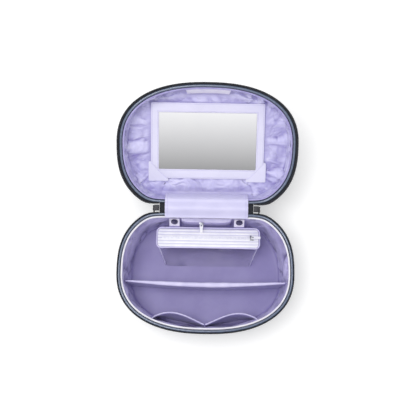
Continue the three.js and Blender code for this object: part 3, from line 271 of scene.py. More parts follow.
def finish(name, dark, light, rough, patch_scale=30.0, relief=None, relief_scale=1.0, depth=0.1,
           strength=0.6, metal=0.0, sheen=0.0, coat=0.0, cut=False, crinkle=0.0, hollow=None):
    """A material. relief is one of the shared patterns, and depth is its height in millimetres.
    crinkle is the height of fine creases where the cloth is loose, also in millimetres. The last
    argument is a colour of painted shade, which the piece's fold attribute mixes in at each point."""
    material = bpy.data.materials.new(name)
    material.use_nodes = True
    tree = material.node_tree
    place = node(tree, "ShaderNodeTexCoord").outputs
    shades = {"Scale": patch_scale, "Dark": shade(*dark), "Light": shade(*light)}
    colour = pattern(tree, patches, place["Object"], shades)["Color"]
    # Painted shade: the fold attribute darkens the colour towards the shade colour given last.
    if hollow:
        colour = mixed(tree, attribute(tree, "fold"), colour, shade(*hollow))
    wear = pattern(tree, scuffs, place["Object"], {"Low": rough * 0.85, "High": rough * 1.2})
    height = wear["Height"]
    if relief is not None:
        around = place["UV" if cut else "Object"]
        height = pattern(tree, relief, around, {1: relief_scale})["Height"]
    bump = node(tree, "ShaderNodeBump",
                {"Strength": strength, "Distance": depth * MM, "Height": height})
    if crinkle:
        creases = pattern(tree, crinkles, place["Object"], {})["Height"]
        creased = node(tree, "ShaderNodeBump", {"Strength": attribute(tree, "loose"),
                                                "Distance": crinkle * MM, "Height": creases})
        fill(tree, bump, {"Normal": creased.outputs["Normal"]})
    fill(tree, tree.nodes["Principled BSDF"], {
        "Base Color": colour, "Roughness": wear["Roughness"], "Normal": bump.outputs["Normal"],
        "Metallic": metal, "Sheen Weight": sheen, "Coat Weight": coat, "Coat Roughness": 0.08})
    return material


# %% Finishes of cloth
def woven(name, dark, light, rough, threads=2600, depth=0.05, patch_scale=22, sheen=0.2, **more):
    """A finish of woven cloth. Its threads are counted per metre of the cloth's flat cut."""
    return finish(name, dark, light, rough, patch_scale=patch_scale, relief=weave,
                  relief_scale=threads, depth=depth, sheen=sheen, cut=True, **more)


# One lilac satin in lit and shaded copies: the lid's lining is lightest, while the base lining and
# the plain satin of the divider, pockets and other inner pieces are darker, which paints in the
# shade of the deep base. The last colour given to the two linings and to the white ribbed cloth is
# painted shade for their folds, the base's floor and the valleys between the pouch's ribs.
satin = woven("lilac satin", (158, 149, 201), (174, 166, 215), 0.45)
base_satin = woven("crinkled satin of the base", (182, 174, 221), (202, 195, 238), 0.4, crinkle=6,
                   hollow=(100, 88, 152))
lid_satin = woven("crinkled satin of the lid", (196, 192, 232), (216, 213, 245), 0.36, crinkle=8,
                  hollow=(122, 110, 180))
hem_cloth = woven("pale lilac hem", (205, 200, 235), (218, 213, 243), 0.55, threads=2200,
                  depth=0.06, patch_scale=60)
welt_cloth = woven("pale corded welt", (232, 230, 242), (243, 242, 249), 0.6, threads=1400,
                   depth=0.12, patch_scale=90)
# The lid's welt is the same pale corded welt in a darker lilac copy, which paints in the shade it
# lies in.
shaded_lid_welt = woven("lilac corded welt", (158, 151, 204), (174, 168, 217), 0.6, threads=1400,
                       depth=0.12, patch_scale=90)
black_tape = woven("black woven tape", (25, 27, 34), (38, 41, 50), 0.85, threads=1300, depth=0.2,
                   patch_scale=120, sheen=0.05)
white_tape = woven("white ribbed cloth", (240, 240, 248), (250, 250, 253), 0.6, threads=1800,
                   depth=0.08, patch_scale=60, sheen=0.1, hollow=(206, 204, 229))
tab_cloth = woven("pale lilac tab", (230, 225, 247), (240, 236, 251), 0.55, threads=2200,
                  depth=0.06, patch_scale=60)
lilac_thread = finish("lilac sewing thread", (182, 176, 218), (196, 190, 230), 0.5,
                      patch_scale=400, sheen=0.2)

# %% Finishes of leatherette
pale_leather = finish("pale lilac leatherette", (216, 214, 236), (224, 222, 242), 0.5,
                      patch_scale=18, relief=grain, relief_scale=1100, depth=0.06)
flap_leather = finish("lilac coated cloth", (201, 198, 232), (211, 208, 239), 0.42,
                      patch_scale=18, relief=grain, relief_scale=1300, depth=0.05, sheen=0.1)

# %% Finishes of plastic, rubber and metal
shell_plastic = finish("glossy dark blue shell", (44, 52, 70), (50, 59, 78), 0.28,
                       patch_scale=15, relief=grain, relief_scale=600, depth=0.05, coat=0.3)
bead_plastic = finish("blue grey piping", (88, 99, 123), (104, 116, 141), 0.24,
                      patch_scale=200, coat=0.9)
coil_plastic = finish("black zip coil", (24, 25, 29), (34, 35, 40), 0.45, patch_scale=300)
white_coil = finish("white zip coil", (226, 226, 238), (240, 240, 248), 0.4,
                    patch_scale=300)
grip_plastic = finish("satin dark blue grip", (36, 42, 56), (44, 51, 66), 0.5,
                      patch_scale=60, relief=grain, relief_scale=1500, depth=0.05)
foot_rubber = finish("black rubber", (26, 26, 29), (36, 36, 40), 0.8, patch_scale=150,
                     relief=grain, relief_scale=2000, depth=0.04)
dark_metal = finish("dark polished metal", (84, 80, 104), (98, 94, 118), 0.25,
                    patch_scale=300, metal=1.0)
black_metal = finish("black painted metal", (34, 34, 41), (48, 48, 56), 0.5,
                     patch_scale=300)
plain_metal = finish("brushed metal", (150, 151, 158), (172, 173, 180), 0.32,
                     patch_scale=300, metal=1.0)
inner_plastic = finish("plain grey plastic", (112, 112, 118), (124, 124, 130), 0.6,
                       patch_scale=40)
hardboard = finish("brown hardboard", (138, 110, 82), (160, 130, 98), 0.8,
                   patch_scale=90, relief=weave, relief_scale=700, depth=0.1)


# %% Finish of the mirror: polished metal behind smooth glass
mirror_glass = finish("silvered glass", (247, 247, 249), (250, 250, 251), 0.02, patch_scale=10,
                      metal=1.0, strength=0.0)


# %% Finish of the clear vinyl
def vinyl_finish():
    """Clear soft sheet: seen through and glossy, with cloudy patches of its pale tint painted in as
    highlight streaks.
    """
    material = finish("clear vinyl", (186, 178, 232), (214, 208, 244), 0.12, patch_scale=25)
    tree = material.node_tree
    place = tree.nodes["Texture Coordinate"].outputs["Object"]
    cloud = clouds(tree, place, 17, Detail=1, Distortion=0.6)
    # Painted highlight: where the noise is high the sheet turns less clear and shows its pale tint
    # in streaks.
    painted_streaks = spread(tree, cloud, {"From Min": 0.5, "From Max": 0.72, "To Min": 0.02, "To Max": 0.16})
    fill(tree, tree.nodes["Principled BSDF"], {"IOR": 1.2, "Alpha": painted_streaks})
    return material


clear_vinyl = vinyl_finish()
print("finishes:", len(bpy.data.materials))


# %% [markdown]
# Most pieces of the case are skins: a grid of points that is bent into a wall, a tube or a strip.
# One helper turns such a grid into a mesh and lays a flat cloth pattern on it in metres, so that
# threads and ribs follow the surface. Numpy works out whole grids at once.

# %% Skins from grids of points
def grid(x, y, z):
    """Points from their three coordinates, each of which may be the same along rows or columns."""
    return np.stack(np.broadcast_arrays(x, y, z), axis=-1)


def there_and_back(front, back):
    """Rows of points that run along the front of a sheet and return along its back."""
    return np.concatenate([front, back[:, ::-1]], axis=1)


def lengths(points):
    """Mean length from the first line of a grid to each next one, with the way back at the end."""
    steps = np.linalg.norm(np.roll(points, -1, axis=0) - points, axis=2).mean(axis=1)
    return np.concatenate([[0], np.cumsum(steps)])


def skin(name, points, closed=(False, False), caps=False):
    """A mesh object from rows x columns of points, closed along the rows or the columns or not."""
    rows, columns = points.shape[:2]
    row_spans = rows if closed[0] else rows - 1
    column_spans = columns if closed[1] else columns - 1
    i, j = np.meshgrid(np.arange(row_spans), np.arange(column_spans), indexing="ij")
    i, j = i.ravel(), j.ravel()
    corners_i = np.stack([i, i + 1, i + 1, i], axis=1)
    corners_j = np.stack([j, j, j + 1, j + 1], axis=1)
    faces = ((corners_i % rows) * columns + corners_j % columns).tolist()
    if caps:
        faces.append(list(range(columns)))
        faces.append([(rows - 1) * columns + k for k in range(columns)])
    mesh = bpy.data.meshes.new(name)
    mesh.from_pydata(points.reshape(-1, 3).tolist(), [], faces)
    along = lengths(points)
    across = lengths(points.transpose(1, 0, 2))
    flat = np.stack([along[corners_i], across[corners_j]], axis=2).reshape(-1, 2)
    layer = mesh.uv_layers.new(name="cut")
    values = np.zeros((len(mesh.loops), 2))
    values[: len(flat)] = flat
    layer.data.foreach_set("uv", values.ravel())
    mesh.shade_smooth()
    return add_object(name, mesh)


def closed_skin(name, rows):
    """A skin that is closed round its columns and capped at its first and last row."""
    return tidy_mesh(skin(name, rows, closed=(False, True), caps=True))


SAME_PLACE = 0.01 * MM


@contextmanager
def edited(mesh):
    """Opens a mesh for editing and writes it back at the end."""
    work = bmesh.new()
    work.from_mesh(mesh)
    yield work
    work.to_mesh(mesh)
    work.free()


def tidy_mesh(piece):
    """Merges doubled points, which closes seams and poles, and turns the faces outwards."""
    with edited(piece.data) as work:
        bmesh.ops.remove_doubles(work, verts=work.verts, dist=SAME_PLACE)
        bmesh.ops.recalc_face_normals(work, faces=work.faces)
    return piece


def dress(piece, material, body, slot, *nodes):
    """Gives a piece its finish and its body, and hides the nodes that it stands for. The slot is
    not used.
    """
    piece.data.materials.clear()
    piece.data.materials.append(material)
    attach(piece, body)
    if nodes:
        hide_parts(*nodes)
    return piece


def cloth(piece):
    """Returns the piece unchanged."""
    return piece


# %% Smooth lines
def between(start, end, share):
    return start + (end - start) * share


def unit(steps):
    return steps / np.linalg.norm(steps, axis=-1, keepdims=True)


def circle(sides):
    """Cosines and sines of even turns round a small circle."""
    turn = np.linspace(0, 2 * math.pi, sides, endpoint=False)
    return np.cos(turn), np.sin(turn)


def spans(points, steps):
    """For steps + 1 places along a line: the share of the way over a span, and the span's four
    control points."""
    count = len(points) - 3
    place = np.linspace(0, count, steps + 1)
    first = np.minimum(place.astype(int), count - 1)
    return (place - first)[:, None], *(points[first + k] for k in range(4))


def smooth_line(points, steps):
    """A smooth curve through the points, as steps + 1 places along it."""
    points = np.asarray(points, dtype=float)
    ends = [2 * points[0] - points[1]], [2 * points[-1] - points[-2]]
    t, a, b, c, d = spans(np.concatenate([ends[0], points, ends[1]]), steps)
    return 0.5 * (2 * b + (c - a) * t + (2 * a - 5 * b + 4 * c - d) * t**2
                  + (3 * b - a - 3 * c + d) * t**3)


def eased_line(points, steps):
    """A cubic B-spline. It passes near the points and never bulges between them."""
    points = np.asarray(points, dtype=float)
    t, a, b, c, d = spans(np.concatenate([[points[0]] * 2, points, [points[-1]] * 2]), steps)
    return ((1 - t) ** 3 * a + (3 * t**3 - 6 * t**2 + 4) * b
            + (-3 * t**3 + 3 * t**2 + 3 * t + 1) * c + t**3 * d) / 6


def leftwards(line):
    """Unit steps across a [y, z] line, to its left."""
    step = unit(np.gradient(line, axis=0))
    return np.stack([-step[:, 1], step[:, 0]], axis=1)


def band(line, thickness):
    """A closed outline round a [y, z] line, at half the thickness on each side."""
    line = np.asarray(line)
    across = leftwards(line) * thickness / 2
    return np.concatenate([line + across, (line - across)[::-1]])


# %% [markdown]
# Both halves of the case follow one oval, which is cut straight along the hinge. It could be
# drawn as a curve, but a formula also gives the wall's place at any height and width, which the
# pieces inside need. Walls lean inwards towards the floor of each half. The lid is worked out as
# if it were shut and then turned about the hinge, as the solids are.

# %% The oval and its two halves
def half_case(**sizes):
    return Sizes(**{name: value * MM for name, value in sizes.items()})


base = half_case(height=BASE_HEIGHT / MM, wall=3.2, taper=14, back_taper=3, edge=14,
                 lining_floor=6.9, lining_edge=7.8, flare=0.4, front_flare=1.4)
lid = half_case(height=LID_HEIGHT / MM, wall=1.6, taper=12, back_taper=4, edge=18,
                lining_floor=8.3, lining_edge=8, flare=3.7, front_flare=0)


def opened(points):
    """Turns points of the shut lid open about the hinge."""
    points = np.array(points, dtype=float)
    y, z = points[..., 1] - hinge.y, points[..., 2] - hinge.z
    cos, sin = math.cos(-OPEN_ANGLE), math.sin(-OPEN_ANGLE)
    points[..., 1] = hinge.y + y * cos - z * sin
    points[..., 2] = hinge.z + y * sin + z * cos
    return points


def placed(half, x, y, z):
    """Puts points in the row frame. z is counted from the floor of that half to its rim."""
    return opened(grid(x, y, LID_TOP - z)) if half is lid else grid(x, y, z)


def cut_straight(share, drawn_in):
    """The smaller of two depths, rounded where they meet: the oval's own, and the straight back."""
    straight = HALF_DEPTH - drawn_in
    rounded = (HALF_DEPTH + BACK_OVERREACH - drawn_in) * np.maximum(share, 1e-9)
    total = straight**CUT_SHARPNESS + rounded**CUT_SHARPNESS
    return straight * rounded * total ** (-1 / CUT_SHARPNESS)


def oval(half, turn, inset, z):
    """x and y of the wall at a turn, drawn in by the inset and by the wall's lean."""
    lean = np.maximum(1 - z / half.height, 0)
    side = inset + half.taper * lean
    cos, sin = np.cos(turn), np.sin(turn)
    power = np.where(sin > 0, 2 / BACK_POWER, 2 / FRONT_POWER)
    x = (HALF_WIDTH - side) * np.sign(cos) * np.abs(cos) ** power
    back = cut_straight(np.abs(sin) ** power, inset + half.back_taper * lean)
    front = (side - HALF_DEPTH) * np.abs(sin) ** power
    return x, np.where(sin > 0, back, front)


def even_turns(start, end, count):
    """Turns between two turns of the oval, at even steps along the rim."""
    fine = np.linspace(start, end, 20001)
    x, y = oval(base, fine, 0, BASE_HEIGHT)
    run = np.concatenate([[0], np.cumsum(np.hypot(np.diff(x), np.diff(y)))])
    return np.interp(np.linspace(0, run[-1], count), run, fine)


def wall_y(half, x, inset, z, back=True):
    """Where a wall with this inset stands in Y, at a width x and a height z."""
    lean = np.maximum(1 - z / half.height, 0)
    side = inset + half.taper * lean
    power = BACK_POWER if back else FRONT_POWER
    share = (1 - np.minimum(np.abs(x) / (HALF_WIDTH - side), 1) ** power) ** (1 / power)
    if back:
        return cut_straight(share, inset + half.back_taper * lean)
    return (side - HALF_DEPTH) * share


AROUND = 240
full_round = even_turns(0, 2 * math.pi, AROUND + 1)[:-1]
print("steps round the oval:", AROUND)


def ring_skin(name, half, profile, turns=full_round, **more):
    """Carries [inset, z] points round the oval. The rows run round and the columns along them. The
    profile may be one list of points, or one for each row."""
    rows = np.broadcast_to(profile, (len(turns), *np.shape(profile)[-2:]))
    inset, z = rows[..., 0], rows[..., 1]
    x, y = oval(half, turns[:, None], inset, z)
    return skin(name, placed(half, x, y, z), **more)


# %% [markdown]
# The two shells are moulded from plastic sheet: an even wall with a wide rounded edge along the
# floor. A profile turned round the oval gives it, from the middle of the outside over the rim to
# the inside, with a small rounding on the lip.

# %% Shells
def rounded_edge(inset, floor, edge, steps=12):
    turn = np.linspace(0, math.pi / 2, steps + 1)
    return np.stack([inset + edge * (1 - np.sin(turn)), floor + edge * (1 - np.cos(turn))], axis=1)


def shell_profile(half):
    outer = rounded_edge(0, 0, half.edge)
    lip = half.wall / 4
    rim = [[0, half.height - lip], [lip / 3, half.height - lip / 3], [lip, half.height],
           [half.wall - lip, half.height], [half.wall - lip / 3, half.height - lip / 3],
           [half.wall, half.height - lip]]
    inner = rounded_edge(half.wall, half.wall, half.edge - half.wall)
    wall = [[0, z] for z in np.linspace(half.edge, half.height - lip, 6)[1:-1]]
    return np.concatenate([outer, wall, rim, inner[::-1]])


def close_floors(piece, columns):
    """Closes the holes at both ends of a ring skin's profile, one face each."""
    with edited(piece.data) as work:
        work.verts.ensure_lookup_table()
        for column in (0, columns - 1):
            work.faces.new([work.verts[row * columns + column] for row in range(AROUND)])
    piece.data.shade_smooth()
    return tidy_mesh(piece)


for half, body in ((base, "base"), (lid, "lid")):
    profile = shell_profile(half)
    piece = ring_skin(f"{body}_shell_wall", half, profile, closed=(True, False))
    close_floors(piece, len(profile))
    dress(piece, shell_plastic, body, "shell_blue", f"{body}_shell")
    print(piece.name, len(piece.data.polygons), "faces")

# %% [markdown]
# Round each rim run, from outside to inside: the black zip tape that flares outwards, a glossy
# piping bead, and the pale welt that holds the lining. Tape and beads are skins round the oval.
# The tape stops where the cloth hinge begins.

# %% Rim sizes
BEAD = 4.5 * MM
BEAD_INSET = 0.8 * MM
WELT_WIDTH = 3.4 * MM
WELT_HEIGHT = 3.8 * MM
WELT_GAP = 0.9 * MM
WELT_SINK = 0.5 * MM
WELT_INSET = BEAD_INSET + BEAD + WELT_GAP
TAPE = 0.8 * MM
TAPE_BEND = 0.6 * MM
FLARE_RUN = 26 * MM
COIL_HEIGHT = 2 * MM
HINGE_HALF_WIDTH = 86 * MM


def round_section(inset, z, width, height):
    cos, sin = circle(14)
    return np.stack([inset + width / 2 * cos, z + height / 2 * sin], axis=1)


def turn_at(x):
    """The turn at which the tape's inner face reaches a width x on the hinge side."""
    return math.acos((x / (HALF_WIDTH - TAPE)) ** (BACK_POWER / 2))


zip_start = turn_at(HINGE_HALF_WIDTH + CLEARANCE)
zip_turns = even_turns(zip_start, -math.pi - zip_start, AROUND)


def flares(half):
    """How far the tape swings out at each turn. It grows from nothing at the hinge's two ends, and
    in front the base's tape swings out a little more."""
    rim = np.column_stack(oval(half, zip_turns, 0, half.height))
    ends = [np.linalg.norm(rim - rim[end], axis=1) for end in (0, -1)]
    in_front = half.front_flare * np.maximum(-np.sin(zip_turns), 0) ** 2
    return (half.flare + in_front) * np.minimum(np.minimum(*ends) / FLARE_RUN, 1)


# %% Beads and welts
for half, body, welt_finish in ((base, "base", welt_cloth), (lid, "lid", shaded_lid_welt)):
    rim = half.height
    section = round_section(BEAD_INSET + BEAD / 2, rim + CLEARANCE + BEAD / 2, BEAD, BEAD)
    bead = ring_skin(f"{body}_bead", half, section, closed=(True, True))
    dress(tidy_mesh(bead), bead_plastic, body, "piping_blue", f"{body}_rim_piping")
    section = round_section(WELT_INSET + WELT_WIDTH / 2, rim + WELT_HEIGHT / 2 - WELT_SINK,
                            WELT_WIDTH, WELT_HEIGHT)
    welt = ring_skin(f"{body}_welt", half, section, closed=(True, True))
    dress(tidy_mesh(welt), welt_finish, body, "welt", f"{body}_lining_welt")
    print(bead.name, welt.name)

# %% Zip tapes
coil_top = ZIP_STAND - CLEARANCE / 2
tape_top = coil_top - COIL_HEIGHT - CLEARANCE


def tape_outline(half, flare):
    """The tape's cross section: up past the bead, then outwards to the zip's coil."""
    bend = min(TAPE_BEND, flare)
    line = smooth_line([[0, CLEARANCE], [-bend, BEAD / 2], [-flare, tape_top]], 8)
    return band(line + [TAPE / 2, half.height], TAPE)


for half, body in ((base, "base"), (lid, "lid")):
    outlines = [tape_outline(half, flare) for flare in flares(half)]
    tape = ring_skin(f"{body}_tape", half, outlines, turns=zip_turns, closed=(False, True),
                     caps=True)
    dress(tidy_mesh(tape), black_tape, body, "black_cloth", f"{body}_zip_tape")
    print(tape.name, "swings out by", half.flare / MM, "mm")

# %% [markdown]
# A zip's coil is one bent wire that loops over the tape's edge about every millimetre and a half.
# Hundreds of the same loop along a line is work for Geometry Nodes: the line is measured off in
# even steps, each step gets a small loop that is turned along the line, and the copies are made
# real at the end. The same tree, with another small shape, sews the seams of the flap, the
# mirror's frame and the corner pockets.

# %% Geometry Nodes: a row of small shapes along a line
def row_tree(name, shape):
    """Copies of a small shape along a line. shape(tree, given) makes it and returns its socket."""
    tree = bpy.data.node_groups.new(name, "GeometryNodeTree")
    kinds = {"Geometry": "Geometry", "Spacing": "Float", "Length": "Float", "Width": "Float",
             "Up": "Vector", "Material": "Material"}
    for label, kind in kinds.items():
        tree.interface.new_socket(label, in_out="INPUT", socket_type=f"NodeSocket{kind}")
    tree.interface.new_socket("Geometry", in_out="OUTPUT", socket_type="NodeSocketGeometry")
    given = tree.nodes.new("NodeGroupInput").outputs
    curve = node(tree, "GeometryNodeMeshToCurve", {0: given["Geometry"]})
    steps = node(tree, "GeometryNodeCurveToPoints",
                 {"Curve": curve.outputs[0], "Length": given["Spacing"]}, mode="LENGTH").outputs
    upright = node(tree, "FunctionNodeAlignRotationToVector", {"Vector": given["Up"]}, axis="Z")
    turned = node(tree, "FunctionNodeAlignRotationToVector",
                  {"Rotation": upright.outputs[0], "Vector": steps["Tangent"]},
                  axis="X", pivot_axis="Z")
    copies = node(tree, "GeometryNodeInstanceOnPoints",
                  {"Points": steps["Points"], "Instance": shape(tree, given),
                   "Rotation": turned.outputs[0]})
    real = node(tree, "GeometryNodeRealizeInstances", {0: copies.outputs[0]})
    painted = node(tree, "GeometryNodeSetMaterial",
                   {"Geometry": real.outputs[0], "Material": given["Material"]})
    node(tree, "NodeGroupOutput", {0: painted.outputs[0]})
    return tree


def stitch_shape(tree, given):
    """One stitch: a plump grain of thread that lies along the row."""
    ball = node(tree, "GeometryNodeMeshUVSphere", {"Segments": 6, "Rings": 4, "Radius": 0.5})
    size = node(tree, "ShaderNodeCombineXYZ",
                {0: given["Length"], 1: given["Width"], 2: given["Width"]})
    sized = node(tree, "GeometryNodeTransform",
                 {"Geometry": ball.outputs["Mesh"], "Scale": size.outputs[0]})
    return node(tree, "GeometryNodeSetShadeSmooth", {0: sized.outputs[0]}).outputs[0]


def tooth_shape(tree, given):
    """One loop of the coil: a wire ring that stands across the line."""
    circles = []
    for size, corners in (("Length", 8), ("Width", 5)):
        radius = maths(tree, "MULTIPLY", given[size], 0.5)
        circles.append(node(tree, "GeometryNodeCurvePrimitiveCircle",
                            {"Resolution": corners, "Radius": radius}, mode="RADIUS"))
    ring, wire = (circle.outputs["Curve"] for circle in circles)
    bent = node(tree, "GeometryNodeCurveToMesh", {"Curve": ring, "Profile Curve": wire})
    stood = node(tree, "GeometryNodeTransform",
                 {"Geometry": bent.outputs[0], "Rotation": (0, math.pi / 2, 0)})
    return stood.outputs[0]


stitch_tree = row_tree("stitches along a line", stitch_shape)
tooth_tree = row_tree("coil along a line", tooth_shape)


# %% Running the trees
def line_object(name, lines):
    """An object of bare edges, one chain for each list of points."""
    points, edges = [], []
    for line in lines:
        first = len(points)
        points.extend([tuple(p) for p in np.asarray(line)])
        edges.extend((first + k, first + k + 1) for k in range(len(line) - 1))
    mesh = bpy.data.meshes.new(name)
    mesh.from_pydata(points, edges, [])
    return add_object(name, mesh)


def grow(piece, tree, **values):
    """Runs a tree on a piece and keeps the result as its plain mesh."""
    modifier = piece.modifiers.new(tree.name, "NODES")
    modifier.node_group = tree
    for item in tree.interface.items_tree:
        if item.in_out == "INPUT" and item.name in values:
            modifier[item.identifier] = values[item.name]
    settled = piece.evaluated_get(bpy.context.evaluated_depsgraph_get())
    mesh = bpy.data.meshes.new_from_object(settled)
    piece.modifiers.clear()
    piece.data = mesh
    return piece


lid_up = Vector((0, -math.sin(math.pi - OPEN_ANGLE), math.cos(math.pi - OPEN_ANGLE)))
world_up = Vector((0, 0, 1))


def sewn(name, lines):
    """Rows of small stitches along lines in the lid."""
    piece = line_object(name, lines)
    grow(piece, stitch_tree, Spacing=2.4 * MM, Length=2.1 * MM, Width=0.8 * MM, Up=tuple(lid_up),
         Material=lilac_thread)
    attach(piece, "lid")
    return piece


# %% Zip coils round the rims
COIL_PITCH = 1.5 * MM
COIL_WIRE = 0.7 * MM
for half, body, up in ((base, "base", world_up), (lid, "lid", lid_up)):
    middle = half.height + coil_top - COIL_HEIGHT / 2
    x, y = oval(half, zip_turns, TAPE / 2 - flares(half), middle)
    coil = line_object(f"{body}_coil", [placed(half, x, y, middle)])
    grow(coil, tooth_tree, Spacing=COIL_PITCH, Length=COIL_HEIGHT - COIL_WIRE, Width=COIL_WIRE,
         Up=tuple(up), Material=coil_plastic)
    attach(coil, body)
    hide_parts(f"{body}_zip_coil")
    print(coil.name, len(coil.data.polygons), "faces")

# %% [markdown]
# The lining is satin, cut larger than the shell and held only along its welt and on the floor, so
# it buckles into folds. Folds could be drawn by hand or made of noise, but cloth that really
# buckles has the long soft ridges and sharp valleys of the real one. It starts as the plain inner
# wall with shallow pleats, and a cloth simulation lets it grow by a sixth between its held edges.
# The wall behind stops it, so what moves outwards is folded back in.

# %% Lining surface
LINING = 1.2 * MM
LINING_SLACK = 0.4 * MM
LINING_ROLL = 12 * MM
LINING_STEPS = 26


def lining_sizes(half):
    """Inset and floor of the lining's inner face, and the radius of the edge between them."""
    return (half.wall + LINING_SLACK + LINING, half.lining_floor + LINING,
            half.lining_edge - LINING)


def lining_grid(half):
    """Points from the welt down the wall, round the edge and over the floor to its middle."""
    inset, floor, edge = lining_sizes(half)
    top = half.height - WELT_SINK - CLEARANCE
    welt = WELT_INSET + CLEARANCE + LINING
    roll = smooth_line([[welt, top], [(welt + inset) / 2, top - LINING_ROLL / 2],
                        [inset, top - LINING_ROLL]], 6)[:-1]
    heights = np.linspace(top - LINING_ROLL, floor + edge, LINING_STEPS)
    wall = np.stack([np.full(LINING_STEPS, inset), heights], axis=1)
    profile = np.concatenate([roll, wall[:-1], rounded_edge(inset, floor, edge, 8)[::-1]])
    x, y = oval(half, full_round[:, None], profile[None, :, 0], profile[None, :, 1])
    z = np.broadcast_to(profile[None, :, 1], x.shape)
    to_middle = np.linspace(1, 0, LINING_STEPS + 1)[1:]
    return [np.concatenate([part, part[:, -1:] * shares], axis=1)
            for part, shares in ((x, to_middle), (y, to_middle), (z, np.ones(LINING_STEPS)))]


def inward(points, middle):
    """Unit normals of a ring grid that point to its inside."""
    around = np.roll(points, -1, axis=0) - np.roll(points, 1, axis=0)
    down = np.gradient(points, axis=1)
    normal = np.cross(around, down)
    size = np.linalg.norm(normal, axis=2, keepdims=True)
    normal = normal / np.maximum(size, 1e-12)
    normal[:, -1] = normal[:, -3].mean(axis=0)
    side = ((middle - points) * normal).sum(axis=2, keepdims=True)
    return np.where(side < 0, -normal, normal)


def noise_field(points, scale, seed):
    """Smooth noise from -1 to 1 at every point of a grid."""
    shift = Vector((seed * 3.7, seed * 1.3, seed * 2.1))
    flat = points.reshape(-1, 3)
    values = [noise.noise(Vector(p) * scale + shift) for p in flat.tolist()]
    return np.array(values).reshape(points.shape[:-1])


def crumple(points, scale, seed, warp=0.4):
    """Crumpled cloth from 0 to 1: broad swellings that meet in sharp valleys."""
    bent = points.copy()
    for axis in range(3):
        bent[..., axis] += warp / scale * noise_field(points, scale * 0.8, seed + 10 + axis)
    return np.abs(noise_field(bent, scale, seed)) ** 0.8


def ridges_round(points, turns, scale, seed, stretch=0.4):
    """Crumples on a ring grid that are longer round the case than they are down its wall."""
    down = np.linalg.norm(np.diff(points, axis=1, prepend=points[:, :1]), axis=2).cumsum(axis=1)
    reach = stretch * HALF_WIDTH
    x, y = reach * np.cos(turns)[:, None], reach * np.sin(turns)[:, None]
    return crumple(grid(x, y, down), scale, seed)


def pleats(points, turns, count, seed):
    """Folds from 0 to 1 that run down from the rim, twice as many as the count."""
    wander = noise_field(points, 16, seed)
    return np.abs(np.sin(count * turns[:, None] + 2.6 * wander)) ** 0.8


def smooth_step(value, low, high):
    t = np.clip((value - low) / (high - low), 0, 1)
    return t * t * (3 - 2 * t)


def fades(value, low, high):
    return 1 - smooth_step(value, low, high)


def softened(grid, times):
    """A ring grid averaged with its neighbours, round and down."""
    for _ in range(times):
        grid = (np.roll(grid, 1, axis=0) + 2 * grid + np.roll(grid, -1, axis=0)) / 4
        padded = np.concatenate([grid[:, :1], grid, grid[:, -1:]], axis=1)
        grid = (padded[:, :-2] + 2 * grid + padded[:, 2:]) / 4
    return grid


def write_number(piece, name, values):
    """Writes a number at each point of a piece, under a name that its finish asks for."""
    layer = piece.data.attributes.new(name, "FLOAT", "POINT")
    layer.data.foreach_set("value", np.ascontiguousarray(values, dtype=float).ravel())


# %% Letting cloth settle
GROWTH = 0.16
SETTLING_FRAMES = 26
HELD_ROOM = 0.02
SATIN_CLOTH = {"quality": 6, "mass": 0.25, "air_damping": 3, "tension_stiffness": 25,
               "compression_stiffness": 25, "shear_stiffness": 8, "bending_stiffness": 5,
               "shrink_min": -GROWTH, "shrink_max": -GROWTH, "vertex_group_mass": "held"}


def held_cloth(piece, held):
    """Runs the cloth simulation on a piece and returns where its points end up."""
    group = piece.vertex_groups.new(name="held")
    group.add(np.flatnonzero(held.ravel()).tolist(), 1.0, "REPLACE")
    run = piece.modifiers.new("cloth", "CLOTH")
    for name, value in SATIN_CLOTH.items():
        setattr(run.settings, name, value)
    run.settings.effector_weights.gravity = 0
    run.point_cache.frame_end = SETTLING_FRAMES
    scene = bpy.context.scene
    for frame_number in range(1, SETTLING_FRAMES + 1):
        scene.frame_set(frame_number)
    settled = piece.evaluated_get(bpy.context.evaluated_depsgraph_get())
    points = np.empty(len(settled.data.vertices) * 3)
    settled.data.vertices.foreach_get("co", points)
    scene.frame_set(1)
    return points.reshape(-1, 3)


def settled_folds(name, flat, inner, rise, room, most):
    """How far a lining stands in from its flat wall, and how far it slides along it. rise is its
    first unevenness in metres, and most is its deepest fold. Where it has no room it is held."""
    start = (flat + inner * (rise * room)[..., None])[:, :-1]
    piece = skin(name, start, closed=(True, False))
    points = held_cloth(piece, room[:, :-1] < HELD_ROOM).reshape(start.shape)
    bpy.data.objects.remove(piece)
    moved = np.zeros_like(flat)
    moved[:, :-1] = points - start
    depth = (moved * inner).sum(axis=2)
    slide = moved - depth[..., None] * inner
    depth = np.where(depth < 0, -0.45 * depth, depth)
    return np.tanh(depth / most) * most, np.clip(slide, -most / 2, most / 2)


def hang_lining(body, flat, inner, move, slide, room, material, plain, valley):
    """The lining of one half. Its fold attribute is a share of painted shade, from 0 on a ridge to
    1 in a valley. plain is that share where nothing is folded, and valley is how deep a full fold
    is."""
    places = flat + inner * move[..., None] + slide * room[..., None]
    lining = skin(f"{body}_lining_satin", places, closed=(True, False))
    # Painted shade: points lower than their softened neighbours get more of it, and raised ones
    # less.
    sunk = (softened(move, 12) - move) / valley
    write_number(lining, "fold", np.clip(plain + 0.6 * sunk * room, 0, 1))
    write_number(lining, "loose", room)
    dress(tidy_mesh(lining), material, body, "lining_satin", f"{body}_lining")
    print(body, "lining moves", round(float(move.max()) / MM, 1), "mm inwards")
    return lining


